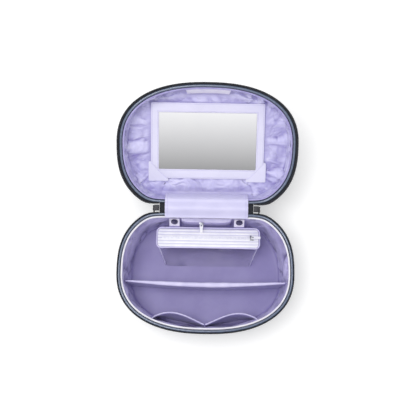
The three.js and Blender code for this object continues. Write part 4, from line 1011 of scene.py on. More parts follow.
# %% Base lining
BASE_FOLDS = 9 * MM
BASE_START = 5 * MM
x, y, z = lining_grid(base)
flat_wall = placed(base, x, y, z)
inner = inward(flat_wall, np.array([0, 0, BASE_HEIGHT / 2]))
uneven = (0.5 * ridges_round(flat_wall, full_round, 26, 1, stretch=0.8)
          + 0.7 * pleats(flat_wall, full_round, 11, 5) + 0.2 * crumple(flat_wall, 60, 2))
below_welt = smooth_step(BASE_HEIGHT - z, 1 * MM, 14 * MM)
off_floor = smooth_step(z, 9 * MM, 16 * MM)
back_middle = smooth_step(y, 85 * MM, 98 * MM) * fades(np.abs(x), 62 * MM, 90 * MM)
divider_ends = np.exp(-(((y + 14 * MM) / (9 * MM)) ** 2)) * fades(z, 76 * MM, 86 * MM)
room = below_welt * off_floor * (1 - back_middle) * (1 - divider_ends)
depth, slide = settled_folds("base_lining_start", flat_wall, inner, BASE_START * uneven,
                             room, BASE_FOLDS)
# Painted shade: the base lining gets 0.62 of the shade colour on its floor, 0.15 on its walls, and
# more in its valleys.
base_lining = hang_lining("base", flat_wall, inner, depth * room + 0.2 * MM * below_welt, slide,
                          room, base_satin, plain=0.62 - 0.47 * off_floor, valley=1.2 * MM)
cloth(base_lining)

# %% [markdown]
# In the lid the lining lies flat under the mirror's board and billows up beside it. Beside the
# mirror the cloth is pushed into big soft crumples. Above it two long creases run out from under
# the padded patch to the board's corners, and towards the hinge it lies in long folds.

# %% Lid lining
def crease(x, y, start, end, width, height):
    """A ridge along a line in the lid, highest at the line itself."""
    ax, ay = (c * MM for c in start)
    bx, by = (c * MM for c in end)
    run = (bx - ax) ** 2 + (by - ay) ** 2
    t = np.clip(((x - ax) * (bx - ax) + (y - ay) * (by - ay)) / run, 0, 1)
    away = np.hypot(x - ax - t * (bx - ax), y - ay - t * (by - ay))
    return height * MM * np.exp(-away / (width * MM)) * (1 - 0.5 * np.abs(2 * t - 1))


LID_FOLDS = 12 * MM
LID_START = 6 * MM
x, y, z = lining_grid(lid)
flat_lid = placed(lid, x, y, z)
shut = grid(x, y, z)
inner = inward(flat_lid, placed(lid, 0, 0, LID_HEIGHT * 2))
beside_board = 1 - (fades(np.abs(x), 103 * MM, 112 * MM) * fades(np.abs(y), 68 * MM, 76 * MM))
below_welt = smooth_step(LID_HEIGHT - z, 0.5 * MM, 8 * MM)
uneven = (0.4 * ridges_round(flat_lid, full_round, 22, 3) + 0.5 * crumple(shut, 24, 3, warp=0.6)
          + 0.5 * pleats(shut, full_round, 12, 6))
creases = sum(crease(x, y, (0, -92), (side * 96, -78), 4, 7) for side in (-1, 1))
for start, end, width, height in (((-110, 84), (110, 84), 3, 3), ((-90, 78), (100, 76), 2, 2)):
    creases = creases + crease(x, y, start, end, width, height)
room = beside_board * below_welt
depth, slide = settled_folds("lid_lining_start", flat_lid, inner,
                             LID_START * uneven + 0.7 * creases, room, LID_FOLDS)

# %% Lid lining where other pieces press on it
near_patch = np.exp(-((np.abs(x) / (48 * MM)) ** 6))
near_flap = np.exp(-((np.abs(x) / (84 * MM)) ** 8))
near_board = fades(np.abs(x), 80 * MM, 100 * MM)
patch_room = 1 - 0.85 * near_patch * smooth_step(-y, 78 * MM, 88 * MM)
flap_room = 1 - 0.85 * near_flap * smooth_step(y, 92 * MM, 98 * MM)
room = room * patch_room * flap_room
over_board = smooth_step(-y, 70 * MM, 76 * MM) * near_board
under_board = smooth_step(y, 72 * MM, 78 * MM) * near_board
move = (depth * (1 - 0.55 * over_board - 0.7 * under_board) + creases) * room
# Painted shade: the lid's lining gets 0.28 of the shade colour where smooth, more in its valleys
# and less on its ridges.
lid_lining = hang_lining("lid", flat_lid, inner, move, slide, room, lid_satin, plain=0.28,
                         valley=1.6 * MM)
cloth(lid_lining)

# %% [markdown]
# The cloth hinge is a black woven strip that bridges the two rims. A flap of coated lilac cloth
# covers it from inside. Both follow the base at one end and the open lid at the other.

# %% Lines over the hinge
FLAP_WIDTH = 152 * MM
FLAP_THICKNESS = 1.4 * MM
FLAP_LID_DEPTH = 26 * MM
FLAP_CREST = 4.5 * MM
FLAP_EASE = 3.5 * MM
HINGE_CLOTH = 1 * MM
HINGE_ARCH = 12 * MM


def opened_yz(y, z):
    return opened([0, y, z])[1:]


def flap_line(x, steps=46):
    """[y, z] places across the flap, from the base's welt over both rims down into the lid."""
    inset = WELT_INSET + WELT_WIDTH + CLEARANCE + FLAP_THICKNESS
    inside = wall_y(base, x, inset, BASE_HEIGHT)
    on_welt = wall_y(base, x, WELT_INSET + WELT_WIDTH, BASE_HEIGHT)
    on_bead = wall_y(base, x, BEAD_INSET + BEAD / 2, BASE_HEIGHT)
    rise = FLAP_THICKNESS / 2 + CLEARANCE * 2
    over_welt = BASE_HEIGHT + WELT_HEIGHT - WELT_SINK + rise
    over_bead = BASE_HEIGHT + BEAD + CLEARANCE + rise
    inner = [
        [on_welt, over_welt],
        [on_bead - FLAP_EASE / 3, over_bead],
        [hinge.y - FLAP_EASE, hinge.z + FLAP_CREST],
        [hinge.y + FLAP_EASE, hinge.z + FLAP_CREST],
        opened_yz(on_bead - FLAP_EASE / 3, 2 * hinge.z - over_bead),
        opened_yz(inside + FLAP_EASE, 2 * hinge.z - over_welt - FLAP_THICKNESS),
        opened_yz(inside, 2 * hinge.z - BASE_HEIGHT - WELT_HEIGHT / 2),
        opened_yz(inside, 2 * hinge.z - BASE_HEIGHT + FLAP_LID_DEPTH),
    ]
    return eased_line(inner, steps)


def bend(piece):
    """Bakes the piece's transform into its mesh."""
    end = placed(lid, 0, HALF_DEPTH, LID_HEIGHT)
    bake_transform(piece)


# %% Flap
def at_x(x, line):
    """The points of a [y, z] line at a width x."""
    return np.column_stack([np.full(len(line), x), line])


def cloth_strip(name, xs, lines, thickness):
    """A strip from one [y, z] line and one thickness for each x, with closed ends."""
    thicknesses = np.broadcast_to(thickness, len(xs))
    rows = [at_x(x, band(line, thick)) for x, line, thick in zip(xs, lines, thicknesses)]
    return closed_skin(name, np.array(rows))


FLAP_HEM = 5 * MM
FLAP_HEM_STEP = 0.4 * MM
FLAP_SHEET = 0.9 * MM
FLAP_EDGE_WAVE = 0.7 * MM
FLAP_SAG = 0.25 * MM
flap_xs = np.linspace(-FLAP_WIDTH / 2, FLAP_WIDTH / 2, 121)
hem_start = FLAP_WIDTH / 2 - FLAP_HEM
in_hem = smooth_step(np.abs(flap_xs), hem_start - FLAP_HEM_STEP, hem_start)
flap_thickness = between(FLAP_SHEET, FLAP_THICKNESS, in_hem)
flap = cloth_strip("hinge_flap_cloth", flap_xs, [flap_line(x) for x in flap_xs], flap_thickness)
for point in flap.data.vertices:
    edge = (abs(point.co.x) / (FLAP_WIDTH / 2)) ** 12
    pull = 0.5 * math.sin(point.co.y * 700) + 0.3 * math.sin(point.co.y * 1630 + point.co.x * 40)
    point.co.x += math.copysign(FLAP_EDGE_WAVE * edge * pull, point.co.x)
    point.co.z += FLAP_SAG * math.sin(point.co.x * 95) * math.sin(point.co.y * 240)
flap.data.materials.append(flap_leather)
cloth(flap)
bend(flap)
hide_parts("hinge_flap")

# %% Flap's seams
seam_lines = []
for side in (-1, 1):
    x = side * (FLAP_WIDTH / 2 - FLAP_HEM * 0.8)
    line = flap_line(x)[3:-2]
    seam_lines.append(at_x(x, line + leftwards(line) * FLAP_THICKNESS * 0.55))
flap_seams = line_object("flap_seams", seam_lines)
grow(flap_seams, stitch_tree, Spacing=2.8 * MM, Length=2.5 * MM, Width=1.1 * MM, Up=(0, 0, 1),
     Material=lilac_thread)
bend(flap_seams)
print(flap_seams.name, len(flap_seams.data.polygons), "faces")

# %% Cloth hinge
def hinge_line(x):
    foot = BASE_HEIGHT + CLEARANCE + HINGE_CLOTH / 2
    y = wall_y(base, x, HINGE_CLOTH / 2, BASE_HEIGHT)
    start = np.array([y, foot])
    end = opened_yz(y, 2 * hinge.z - foot)
    chord = end - start
    up = np.array([-chord[1], chord[0]]) / np.linalg.norm(chord)
    top = (start + end) / 2 + up * HINGE_ARCH
    t = np.linspace(0, 1, 17)[:, None]
    return (1 - t) ** 2 * start + 2 * t * (1 - t) * top + t**2 * end


hinge_xs = np.linspace(-HINGE_HALF_WIDTH, HINGE_HALF_WIDTH, 61)
hinge_cloth = cloth_strip("hinge_cloth_strip", hinge_xs, [hinge_line(x) for x in hinge_xs],
                          HINGE_CLOTH)
hinge_cloth.data.materials.append(black_tape)
cloth(hinge_cloth)
bend(hinge_cloth)
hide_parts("hinge_cloth")

# %% [markdown]
# The divider is a stiff panel covered with satin, with a padded roll along its top edge that is
# sewn into the side walls at both ends. Panel and roll are skins along the same slightly bowed
# line.

# %% Divider
BASE_LINING_FLOOR = base.lining_floor + LINING + CLEARANCE
DIVIDER_HEIGHT = 63 * MM
DIVIDER_THICKNESS = 3 * MM
DIVIDER_PLACE = -13 * MM
DIVIDER_BOW = 6 * MM
DIVIDER_QUILT = 0.35 * MM
DIVIDER_END_GAP = 1.2 * MM
DIVIDER_CORD = 9 * MM
DIVIDER_CORD_END = 2.4 * MM
divider_top = BASE_LINING_FLOOR + DIVIDER_HEIGHT


def lining_inset(z):
    """Inset of the base lining's inner face at a height, with its rounded edge at the floor."""
    inset, floor, edge = lining_sizes(base)
    rise = np.clip((z - floor) / edge, 0, 1)
    return inset + edge * (1 - np.sqrt(1 - (1 - rise) ** 2))


def half_room(y, z):
    """Half the room between the side walls at a place y and a height z."""
    side = lining_inset(z) + base.taper * (1 - z / BASE_HEIGHT)
    along = (abs(y) / (HALF_DEPTH - side)) ** FRONT_POWER
    return (HALF_WIDTH - side) * (1 - along) ** (1 / FRONT_POWER)


def divider_y(share):
    return DIVIDER_PLACE - DIVIDER_BOW * np.cos(share * math.pi / 2)


levels = BASE_LINING_FLOOR + DIVIDER_HEIGHT * np.linspace(0, 1, 22) ** 1.4
shares = np.linspace(-1, 1, 81)
reach = half_room(DIVIDER_PLACE - DIVIDER_THICKNESS, levels) - DIVIDER_END_GAP
xs = shares[:, None] * reach[None, :]
middle = divider_y(shares)[:, None]
middle = middle + DIVIDER_QUILT * noise_field(grid(xs, middle, levels), 35, 8)
faces = [grid(xs, middle + side * DIVIDER_THICKNESS / 2, levels) for side in (-1, 1)]
divider = closed_skin("divider_satin", there_and_back(*faces))
dress(divider, satin, "base", "lining_satin", "divider_panel")

# %% Divider's padded roll
shares = np.linspace(-1, 1, 121)
reach = half_room(DIVIDER_PLACE - DIVIDER_CORD, divider_top) - DIVIDER_END_GAP
cos, sin = circle(16)
fat = between(DIVIDER_CORD_END, DIVIDER_CORD, np.cos(shares * math.pi / 2) ** 0.8)
fat = fat * (1 + 0.05 * np.sin(shares * 9) + 0.03 * np.sin(shares * 31))
roll_y = divider_y(shares)[:, None] + fat[:, None] / 2 * cos
roll_z = divider_top + CLEARANCE + 0.4 * fat[:, None] * (1 + sin)
roll = closed_skin("divider_roll", grid((shares * reach)[:, None], roll_y, roll_z))
dress(roll, hem_cloth, "base", "lining_satin", "divider_binding")
print("divider is", round(2 * float(reach) / MM), "mm long")

# %% [markdown]
# Two elastic pockets hang on the front wall. Each is a sheet sewn down at its ends and along the
# floor, with a hem round an elastic at the top. The elastic pulls the sheet into gathers just
# below the hem, and the pocket stands out from the wall in a curve.

# %% Front pockets
POCKET_SHEET = 1 * MM
POCKET_HALF_SPAN = 97 * MM
POCKET_TOP = 70 * MM
POCKET_BULGE = 22 * MM
POCKET_SKEW = 5 / 4
POCKET_ROUNDNESS = 4 / 5
POCKET_SEAM = 1.2 * MM
POCKET_MIDDLE_GAP = 1.2 * MM
POCKET_MIDDLE_LIFT = 6.4 * MM
POCKET_COLUMNS = 91
POCKET_GATHERS = 75
GATHER_DEPTH = 0.5 * MM
GATHER_REACH = 16 * MM
ELASTIC = 2.6 * MM


def pocket_x(side, share):
    return side * between(POCKET_MIDDLE_GAP, POCKET_HALF_SPAN, share)


def pocket_y(share, x, z):
    """Where the pocket's sheet stands, at a share of its span and a height."""
    height_share = (z - BASE_LINING_FLOOR) / (POCKET_TOP - BASE_LINING_FLOOR)
    rounded = np.maximum(np.sin(share**POCKET_SKEW * math.pi), 0) ** POCKET_ROUNDNESS
    bulge = rounded * (1 + 2 * height_share) / 3
    lift = POCKET_MIDDLE_LIFT * height_share * (1 - share) ** 2
    off = POCKET_SEAM + POCKET_SHEET / 2 + POCKET_BULGE * bulge + lift
    return wall_y(base, x, lining_inset(z), z, back=False) + off


def front_pocket(name, side):
    share = np.linspace(0, 1, POCKET_COLUMNS)[:, None]
    z = np.linspace(BASE_LINING_FLOOR + LINING, POCKET_TOP, 25)[None, :]
    share, x, z = np.broadcast_arrays(share, pocket_x(side, share), z)
    y = pocket_y(share, x, z)
    wander = 1.5 * noise_field(grid(x, y, z), 30, 9)
    gather = np.sin(share * POCKET_GATHERS + wander)
    fade = np.exp(-(POCKET_TOP - z) / GATHER_REACH) * np.sin(share * math.pi) ** 0.5
    y = y + GATHER_DEPTH * gather * fade
    faces = (grid(x, y + face * POCKET_SHEET / 2, z) for face in (-1, 1))
    piece = closed_skin(f"pocket_sheet_{name}", there_and_back(*faces))
    dress(piece, satin, "base", "lining_satin", f"front_pocket_{name}")
    cloth(piece)


def tube(name, path, width, height=None, up=(0, 0, 1)):
    """A soft rod along a path of points, with round ends drawn in."""
    path = np.asarray(path)
    step = unit(np.gradient(path, axis=0))
    out = unit(np.cross(step, up))
    rise = np.cross(out, step)
    cos, sin = circle(12)
    width = np.broadcast_to(width, len(path)) / 2
    height = width if height is None else np.broadcast_to(height, len(path)) / 2
    rows = (path[:, None] + out[:, None] * (width[:, None] * cos)[..., None]
            + rise[:, None] * (height[:, None] * sin)[..., None])
    return closed_skin(name, rows)


def pocket_hem(name, side):
    share = np.linspace(0, 1, POCKET_COLUMNS)
    x = pocket_x(side, share)
    z = np.full(POCKET_COLUMNS, POCKET_TOP)
    y = pocket_y(share, x, z) + (ELASTIC - POCKET_SHEET) / 2
    path = np.column_stack([x, y, z])
    fat = ELASTIC * (1 + 0.12 * np.sin(share * POCKET_GATHERS))
    dress(tube(f"pocket_hem_{name}", path, fat, fat * 1.2), hem_cloth, "base", "lining_satin")


for name, side in (("left", -1), ("right", 1)):
    front_pocket(name, side)
    pocket_hem(name, side)
print("pockets stand out by", round(POCKET_BULGE / MM), "mm")

# %% [markdown]
# On the back wall, between the two snap tabs, sits a padded zip pocket. Its panel swells out from
# the wall and its zip closes the gap along the top.

# %% Back pocket
BACK_POCKET_WIDTH = 94 * MM
BACK_POCKET_TOP = 79 * MM
BACK_POCKET_DROP = 46 * MM
BACK_POCKET_DEPTH = 6 * MM
BACK_POCKET_SHEET = 1.4 * MM
BACK_ZIP_HEIGHT = 6 * MM


def back_wall(x, z):
    return wall_y(base, x, lining_sizes(base)[0], z)


def back_strip(name, line, thickness, columns=61):
    """A strip across the pocket's width. The line holds [depth share, z] points."""
    xs = np.linspace(-1, 1, columns) * BACK_POCKET_WIDTH / 2
    fullness = (1 - np.abs(np.linspace(-1, 1, columns)) ** 6) ** 0.5
    path = smooth_line(line, 24)
    wall = back_wall(BACK_POCKET_WIDTH / 2, path[:, 1]) - CLEARANCE - thickness / 2
    lines = []
    for x, full in zip(xs, fullness):
        y = wall - BACK_POCKET_DEPTH * path[:, 0] * max(full, 0.1)
        lines.append(np.column_stack([y, path[:, 1]]))
    return cloth_strip(name, xs, lines, thickness)


bottom = BACK_POCKET_TOP - BACK_POCKET_DROP
panel_line = [[0, bottom], [0.8, bottom + BACK_POCKET_DEPTH], [1, bottom + 3 * BACK_POCKET_DEPTH],
              [1, BACK_POCKET_TOP]]
back_panel = back_strip("back_pocket_satin", panel_line, BACK_POCKET_SHEET)
dress(back_panel, satin, "base", "lining_satin", "back_pocket_panel")
cloth(back_panel)
zip_bottom = BACK_POCKET_TOP + CLEARANCE + TAPE / 2
zip_line = [[1, zip_bottom], [1 / 3, zip_bottom + BACK_ZIP_HEIGHT / 2],
            [0, zip_bottom + BACK_ZIP_HEIGHT]]
back_zip = back_strip("back_pocket_tape", zip_line, TAPE)
dress(back_zip, hem_cloth, "base", "lining_satin", "back_pocket_zip")
print("back pocket", back_panel.name, back_zip.name)

# %% [markdown]
# The pouch is a box of clear soft vinyl, wider at its top, closed by a ribbed white cloth panel
# with a zip, and edged with lilac piping. Its walls are a ring of points per height, with rounded
# corners, and they bow out a little between the corners.

# %% Pouch sizes
POUCH = Sizes(top_width=188 * MM, bottom_width=164 * MM, top_back=88 * MM, top_front=52 * MM,
              bottom_back=62 * MM, bottom_front=25 * MM, back_height=55 * MM, front_height=64 * MM,
              wall=0.8 * MM, corner=7 * MM, off_centre=4 * MM, panel=1.6 * MM, piping=2.6 * MM)
CORNER_STEPS = 6
SIDE_STEPS = 16
SMALLEST_CORNER = 1 * MM


def pouch_ring(share, inset, lift=0.0, sag=0.0):
    """A loop round the pouch at a share of its height. Its front may sag inwards."""
    half = between(POUCH.bottom_width, POUCH.top_width, share) / 2 - inset
    front = between(POUCH.bottom_front, POUCH.top_front, share) + inset
    back = between(POUCH.bottom_back, POUCH.top_back, share) - inset
    corner = max(POUCH.corner - inset, SMALLEST_CORNER)
    corners = []
    for x, y, first in ((half, back, 0), (-half, back, 90), (-half, front, 180),
                        (half, front, 270)):
        middle = np.array([x - math.copysign(corner, x), y + (corner if y == front else -corner)])
        turn = np.radians(first + np.linspace(0, 90, CORNER_STEPS + 1))
        corners.append(middle + corner * np.column_stack([np.cos(turn), np.sin(turn)]))
    inside = np.linspace(0, 1, SIDE_STEPS + 1)[1:-1, None]
    sides = [between(corners[k][-1], corners[(k + 1) % 4][0], inside) for k in range(4)]
    ring = np.concatenate([part for pair in zip(corners, sides) for part in pair])
    across = (ring[:, 1] - front) / (back - front)
    along = np.clip(np.abs(ring[:, 0]) / half, 0, 1)
    ring[:, 1] += np.where(across < 0.1, sag * (1 - along**4), 0)
    height = between(POUCH.front_height, POUCH.back_height, across)
    z = BASE_LINING_FLOOR + height * share + lift
    return np.column_stack([ring[:, 0] + POUCH.off_centre, ring[:, 1], z])


# %% Pouch body
POUCH_SAG = 2.5 * MM


def pouch_wall_ring(share, inset, lift=0.0):
    ring = pouch_ring(share, inset, lift, sag=POUCH_SAG * math.sin(share * math.pi))
    buckle = noise_field(ring * [0.7, 1, 1], 60, 12) * math.sin(share * math.pi)
    ring[:, :2] -= (ring[:, :2] - ring[:, :2].mean(axis=0)) * (0.02 * np.abs(buckle))[:, None]
    return ring


rings = [pouch_wall_ring(share, 0) for share in np.linspace(0, 1, 21)]
inside = [pouch_wall_ring(share, POUCH.wall, 0 if share else POUCH.wall)
          for share in np.linspace(1, 0, 21)]
pouch = closed_skin("pouch_vinyl", np.array(rings + inside))
dress(pouch, clear_vinyl, "base", "clear_vinyl", "pouch_body")
cloth(pouch)

# %% Pouch top with its ribs
RIBS = 6
RIB_RISE = 0.8 * MM
RIB_END = 9 * MM
TOP_CROWN = 1.4 * MM


def pouch_top(along=97, across=73):
    """The ribbed cloth over the pouch. Its corners are drawn in, and its ribs run lengthwise."""
    half = POUCH.top_width / 2
    depth = POUCH.top_back - POUCH.top_front
    u = np.sin(np.linspace(-math.pi / 2, math.pi / 2, along))[:, None]
    v = np.linspace(0, 1, across)[None, :]
    x = half * u
    near_end = np.clip(np.abs(x) - half + POUCH.corner, 0, POUCH.corner)
    drawn = POUCH.corner - np.sqrt(POUCH.corner**2 - near_end**2)
    y = POUCH.top_front + drawn + (depth - 2 * drawn) * v
    share = (y - POUCH.top_front) / depth
    edge = 1 - (2 * np.abs(share - 0.5)) ** 6
    near_middle = smooth_step(half - np.abs(x), 0, RIB_END)
    ribs = RIB_RISE * np.abs(np.sin(share * RIBS * math.pi)) * near_middle
    crown = TOP_CROWN * edge * (1 - u**6)
    height = between(POUCH.front_height, POUCH.back_height, share)
    low = BASE_LINING_FLOOR + height + CLEARANCE
    rise = POUCH.panel * 0.6 + crown + ribs
    faces = (grid(x + POUCH.off_centre, y, low + lift) for lift in (rise, 0 * rise))
    # Painted shade: a share that is highest in the valleys between the ribs and darkens the white
    # cloth there.
    valleys = np.broadcast_to(np.abs(np.cos(share * RIBS * math.pi)) ** 8, rise.shape)
    return there_and_back(*faces), there_and_back(valleys, 0 * valleys)


points, valleys = pouch_top()
top = skin("pouch_top_cloth", points, closed=(False, True), caps=True)
# The fold attribute carries the painted shade between the ribs.
write_number(top, "fold", valleys)
dress(tidy_mesh(top), white_tape, "base", "white_cloth", "pouch_top_panel")
cloth(top)
print("pouch top has", len(top.data.polygons), "faces")

# %% Pouch piping and bindings
BINDING = 2 * MM
BINDING_STAND = 0.9 * MM
TOP_SAG = 1 * MM
edge = pouch_ring(1, -CLEARANCE * 2 - POUCH.piping / 2, CLEARANCE + POUCH.panel / 2, sag=TOP_SAG)
piping = tube("pouch_edge_piping", np.concatenate([edge, edge[:1]]), POUCH.piping)
dress(piping, hem_cloth, "base", "lining_satin", "pouch_piping")
for name, corner in (("left", 2), ("right", 3)):
    column = corner * (CORNER_STEPS + SIDE_STEPS) + CORNER_STEPS // 2
    upright = np.array([pouch_wall_ring(share, -BINDING_STAND)[column]
                        for share in np.linspace(0.03, 0.97, 25)])
    binding = tube(f"pouch_binding_{name}", upright, BINDING, up=(1, 0, 0))
    dress(binding, hem_cloth, "base", "lining_satin")
print("pouch edges are bound")

# %% [markdown]
# Rigid pieces such as sliders, brackets and screws already have their true form in the solids. A
# copy of each with its doubled points merged and its edges rounded catches the light as a cast or
# moulded piece does.

# %% Rounded copies of the rigid pieces
def round_edges(piece, width, segments=2, sharpest=30):
    """Rounds every edge that turns by more than an angle in degrees."""
    bevel = piece.modifiers.new("rounded edges", "BEVEL")
    bevel.width = width
    bevel.segments = segments
    bevel.limit_method = "ANGLE"
    bevel.angle_limit = math.radians(sharpest)
    bevel.harden_normals = True


def refined(node_name, body, slot, material, round_edge=0.25, segments=2):
    """A copy of a solid in its own finish, with its edges rounded by some millimetres."""
    mesh = frame["nodes"][node_name].data.copy()
    piece = tidy_mesh(add_object(node_name + "_finished", mesh))
    with edited(mesh) as work:
        bmesh.ops.dissolve_limit(work, angle_limit=math.radians(1), verts=work.verts,
                                 edges=work.edges)
    mesh.shade_smooth()
    round_edges(piece, round_edge * MM, segments, sharpest=35)
    dress(piece, material, body, slot, node_name)
    return piece


def slot_of(node_name):
    return next(p["material_slot"] for p in record["subparts"] if p["node"] == node_name)


def body_of(node_name):
    return next(b for b, names in record["behaviour"]["bodies"].items() if node_name in names)


rigid = {
    "handle_bracket_left": shell_plastic, "handle_bracket_right": shell_plastic,
    "handle_pin_left": plain_metal, "handle_pin_right": plain_metal,
    "handle_screw_left": plain_metal, "handle_screw_right": plain_metal,
    "handle_grip": grip_plastic, "handle_backing_plate": inner_plastic,
    "base_board": hardboard,
    "back_pocket_slider": plain_metal, "pouch_slider": plain_metal,
    "zip_slider_left": black_metal, "zip_slider_right": black_metal,
    "zip_puller_left": black_metal, "zip_puller_right": black_metal,
    "snap_cap_left": dark_metal, "snap_cap_right": dark_metal,
    "snap_stud_left": dark_metal, "snap_stud_right": dark_metal,
    "foot_rear_left": foot_rubber, "foot_rear_right": foot_rubber,
    "foot_front_left": foot_rubber, "foot_front_right": foot_rubber,
    "back_pocket_puller": white_tape, "pouch_puller": white_tape,
    "snap_tab_left": tab_cloth, "snap_tab_right": tab_cloth,
    "pouch_tab_left": satin, "pouch_tab_right": satin,
    "mirror_platform": satin, "pouch_zip_coil": white_coil,
}
for name, material in rigid.items():
    round_edge = 0.9 if name.startswith("zip_slider") else 0.25
    refined(name, body_of(name), slot_of(name), material, round_edge=round_edge)
print("rounded copies:", len(rigid))

# %% [markdown]
# The mirror is set in a padded frame of pale leatherette. Two corner pockets of the same material
# hold the frame down on the hinge side, and a padded patch covers the lock's place in the wall
# opposite. Frame and corner pockets are sewn with lilac thread, a little inside their edges.

# %% Mirror, its frame and the patch
glass = frame["nodes"]["mirror_glass"]
glass.data.materials.clear()
glass.data.materials.append(mirror_glass)
mirror_frame = refined("mirror_frame", "lid", "leatherette", pale_leather, round_edge=1, segments=3)
patch = refined("lid_cover_patch", "lid", "leatherette", tab_cloth, round_edge=0.8, segments=3)

FRAME_HALF_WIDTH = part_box("mirror_frame")[1][0]
FRAME_HALF_HEIGHT = 71 * MM
FRAME_PLACE = 0.5 * MM
FRAME_SIDES = 15 * MM
FRAME_ENDS = 18 * MM
PLATFORM = 2.2 * MM
FRAME_THICKNESS = 2.4 * MM
FRAME_TOP = lid.lining_floor + LINING + 2 * CLEARANCE + PLATFORM + FRAME_THICKNESS
SEAM_INSET = 2.4 * MM


def in_lid(x, y, height):
    """A place on the lid's inner side, with its height counted from the dome."""
    return placed(lid, np.asarray(x), np.asarray(y), height)


def lid_line(corners, height, steps=30):
    """A straight-sided line in the lid through [x, y] corners."""
    corners = np.asarray(corners)
    shares = np.linspace(0, 1, steps)[:, None]
    line = np.concatenate([between(*pair, shares) for pair in zip(corners, corners[1:])])
    return in_lid(line[:, 0], line[:, 1], height)


def rectangle(half_width, half_height, inset):
    x, y = half_width - inset, half_height - inset
    corners = [(-x, -y), (x, -y), (x, y), (-x, y), (-x, -y)]
    return [(cx, cy + FRAME_PLACE) for cx, cy in corners]


seams = {"frame_seam": rectangle(FRAME_HALF_WIDTH, FRAME_HALF_HEIGHT, SEAM_INSET),
         "glass_seam": rectangle(FRAME_HALF_WIDTH - FRAME_SIDES, FRAME_HALF_HEIGHT - FRAME_ENDS,
                                 -SEAM_INSET)}
for name, corners in seams.items():
    sewn(name, [lid_line(corners, FRAME_TOP)])
print("seams on the mirror's frame:", list(seams))


# %% Corner pockets
CORNER_WALL = 0.8 * MM
CORNER_REACH = 36 * MM
CORNER_CUT = 1.6 * MM
CORNER_SIDE = 4.2 * MM
CORNER_END = 5 * MM
CORNER_ROUNDING = 0.3 * MM


def lid_plate(work, outline, low, high):
    """Adds a flat plate with this outline to a mesh, between two heights in the lid."""
    rings = []
    for height in (low, high):
        places = in_lid([p[0] for p in outline], [p[1] for p in outline], height)
        rings.append([work.verts.new(place) for place in places.tolist()])
    work.faces.new(rings[0])
    work.faces.new(rings[1])
    for k in range(len(outline)):
        after = (k + 1) % len(outline)
        work.faces.new([rings[0][k], rings[0][after], rings[1][after], rings[1][k]])


def corner_pocket(name, side):
    """A sheet over the frame's corner, and a skirt round its two outer sides down to the lining."""
    out_x = FRAME_HALF_WIDTH + CORNER_SIDE
    out_y = FRAME_HALF_HEIGHT + FRAME_PLACE + CORNER_END
    wall, reach, turn = CORNER_WALL, CORNER_REACH, CORNER_CUT
    sheet = [(out_x, out_y - reach), (out_x, out_y - turn), (out_x - turn, out_y),
             (out_x - reach, out_y), (out_x - reach - turn, out_y - 2 * turn),
             (out_x - 2 * turn, out_y - reach - turn)]
    skirt = sheet[:4] + [(out_x - reach, out_y - wall), (out_x - turn - wall / 2, out_y - wall),
                         (out_x - wall, out_y - turn - wall / 2), (out_x - wall, out_y - reach)]
    low = FRAME_TOP + CLEARANCE
    mesh = bpy.data.meshes.new(f"corner_pocket_{name}_leather")
    with edited(mesh) as work:
        lid_plate(work, [(side * x, y) for x, y in sheet], low, low + wall)
        lid_plate(work, [(side * x, y) for x, y in skirt], lid.lining_floor + LINING + CLEARANCE,
                  low)
        bmesh.ops.recalc_face_normals(work, faces=work.faces)
    mesh.shade_smooth()
    piece = add_object(mesh.name, mesh)
    round_edges(piece, CORNER_ROUNDING)
    dress(piece, pale_leather, "lid", "leatherette", f"corner_pocket_{name}")
    slant = [(side * (sheet[5][0] - turn), sheet[5][1] + turn * 2.4),
             (side * (sheet[4][0] + turn * 2.4), sheet[4][1] - turn)]
    sewn(f"corner_seam_{name}", [lid_line(slant, low + wall)])


for name, side in (("left", -1), ("right", 1)):
    corner_pocket(name, side)
corner_top = FRAME_TOP + CLEARANCE + CORNER_WALL
print("corner pockets stand", round(corner_top / MM, 1), "mm off the dome")

# %% [markdown]
# The floor is a wide pale sheet just under the feet. The background is white because the floor and
# the world are white to the camera, and not because of extra light on the object.

# %% Floor
FLOOR_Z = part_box("foot_front_left")[0][2]
FLOOR_REACH = 6
FLOOR_GLOW = 0.23
WHITE = (1, 1, 1, 1)


def looked_at(tree):
    """1 for what the camera sees itself, in a reflection or through the vinyl, and 0 for light."""
    path = node(tree, "ShaderNodeLightPath").outputs
    indirect = maths(tree, "MAXIMUM", path["Is Glossy Ray"], path["Is Transmission Ray"])
    return maths(tree, "MAXIMUM", path["Is Camera Ray"], indirect)


def floor_material():
    material = bpy.data.materials.new("pale floor")
    material.use_nodes = True
    tree = material.node_tree
    fill(tree, tree.nodes["Principled BSDF"], {
        "Base Color": (0.93, 0.93, 0.935, 1), "Roughness": 1.0, "Specular IOR Level": 0.0,
        "Emission Color": WHITE,
        "Emission Strength": maths(tree, "MULTIPLY", looked_at(tree), FLOOR_GLOW)})
    return material


floor = skin("studio_floor", np.array([[[x, y, FLOOR_Z] for y in (-FLOOR_REACH, FLOOR_REACH)]
                                       for x in (-FLOOR_REACH, FLOOR_REACH)], dtype=float))
floor.data.materials.append(floor_material())
print("floor lies at", round(FLOOR_Z / MM, 1), "mm")

# %% [markdown]
# The light is a plain studio: an even white sky and one wide lamp high above the case, a little to
# its left. Folds get a light side and a dark side, the deep base falls into shade, and on the floor
# there is only a faint soft shadow. Painted shade in the linings' colour adds to the folds' valleys
# and the base's floor. The mirror faces a grey card that grows darker downwards, which only
# reflections see. Its place follows from the camera: sight lines are turned back by the glass.

# %% Light
SKY_LEVEL = 0.74
world = bpy.data.worlds.new("studio sky")
bpy.context.scene.world = world
world.use_nodes = True
sky = world.node_tree
level = spread(sky, looked_at(sky), {"To Min": SKY_LEVEL, "To Max": 1.0})
fill(sky, sky.nodes["Background"], {"Color": WHITE, "Strength": level})

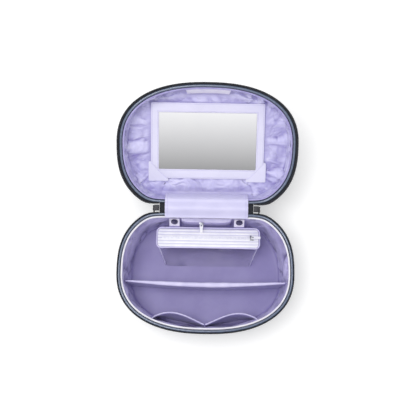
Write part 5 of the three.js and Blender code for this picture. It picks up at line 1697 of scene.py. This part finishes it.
LAMP_PLACE = Vector((-0.45, -0.1, 2.2))
LAMP_AIM = Vector((0, 0.1, 0.08))
LAMP_WIDTH = 1.1
LAMP_POWER = 21
wide = bpy.data.lights.new("wide lamp", "AREA")
wide.shape = "DISK"
wide.size = LAMP_WIDTH
wide.energy = LAMP_POWER
lamp = add_object("wide lamp", wide)
lamp.location = LAMP_PLACE
lamp.rotation_euler = (LAMP_AIM - LAMP_PLACE).to_track_quat("-Z", "Y").to_euler()
print("lamp is", round((LAMP_PLACE - LAMP_AIM).length, 2), "m away")

# %% Card in front of the mirror
CARD_DISTANCE = 1.1
CARD_HALF_WIDTH = 0.5
CARD_MARGIN = 0.2
CARD_LEVELS = {0.0: 0.3, 0.15: 0.38, 0.5: 0.67, 0.84: 0.94, 1.0: 0.97}


def reflected(place):
    """Where the camera's sight line to a place on the glass goes on to, on the card."""
    sight = (place - camera.location).normalized()
    turned = sight - 2 * sight.dot(glass_normal) * glass_normal
    return place + turned * CARD_DISTANCE


glass_low, glass_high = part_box("mirror_glass")
glass_normal = lid_up
ends = [reflected(Vector((0, *corner[1:]))) for corner in (glass_low, glass_high)]
margin = (ends[1] - ends[0]) * CARD_MARGIN
first, last = ends[0] - margin, ends[1] + margin
card = skin("mirror_card", np.array([[[x, *end[1:]] for x in (-CARD_HALF_WIDTH, CARD_HALF_WIDTH)]
                                     for end in (first, last)]))
card_length = (last - first).length


def card_material():
    """A grey slope from dark to light along the card's length, which is written in its UV map."""
    material = bpy.data.materials.new("grey slope")
    material.use_nodes = True
    tree = material.node_tree
    tree.nodes.remove(tree.nodes["Principled BSDF"])
    parts = node(tree, "ShaderNodeSeparateXYZ",
                 {0: node(tree, "ShaderNodeTexCoord").outputs["UV"]})
    along = maths(tree, "MULTIPLY", parts.outputs[0], 1 / card_length)
    ramp = node(tree, "ShaderNodeValToRGB", {"Fac": along})
    stops = ramp.color_ramp.elements
    for place, level in CARD_LEVELS.items():
        stops.new(place).color = (level, level, level * 1.01, 1)
    stops.remove(stops[0])
    stops.remove(stops[-1])
    glow = node(tree, "ShaderNodeEmission", {"Color": ramp.outputs["Color"]})
    fill(tree, tree.nodes["Material Output"], {"Surface": glow.outputs[0]})
    return material


card.data.materials.append(card_material())
for hidden in ("visible_camera", "visible_diffuse", "visible_shadow", "visible_transmission"):
    setattr(card, hidden, False)
print("card is", round(card_length, 3), "m long, with a margin past what the glass shows")
bpy.context.scene.view_settings.view_transform = "Standard"
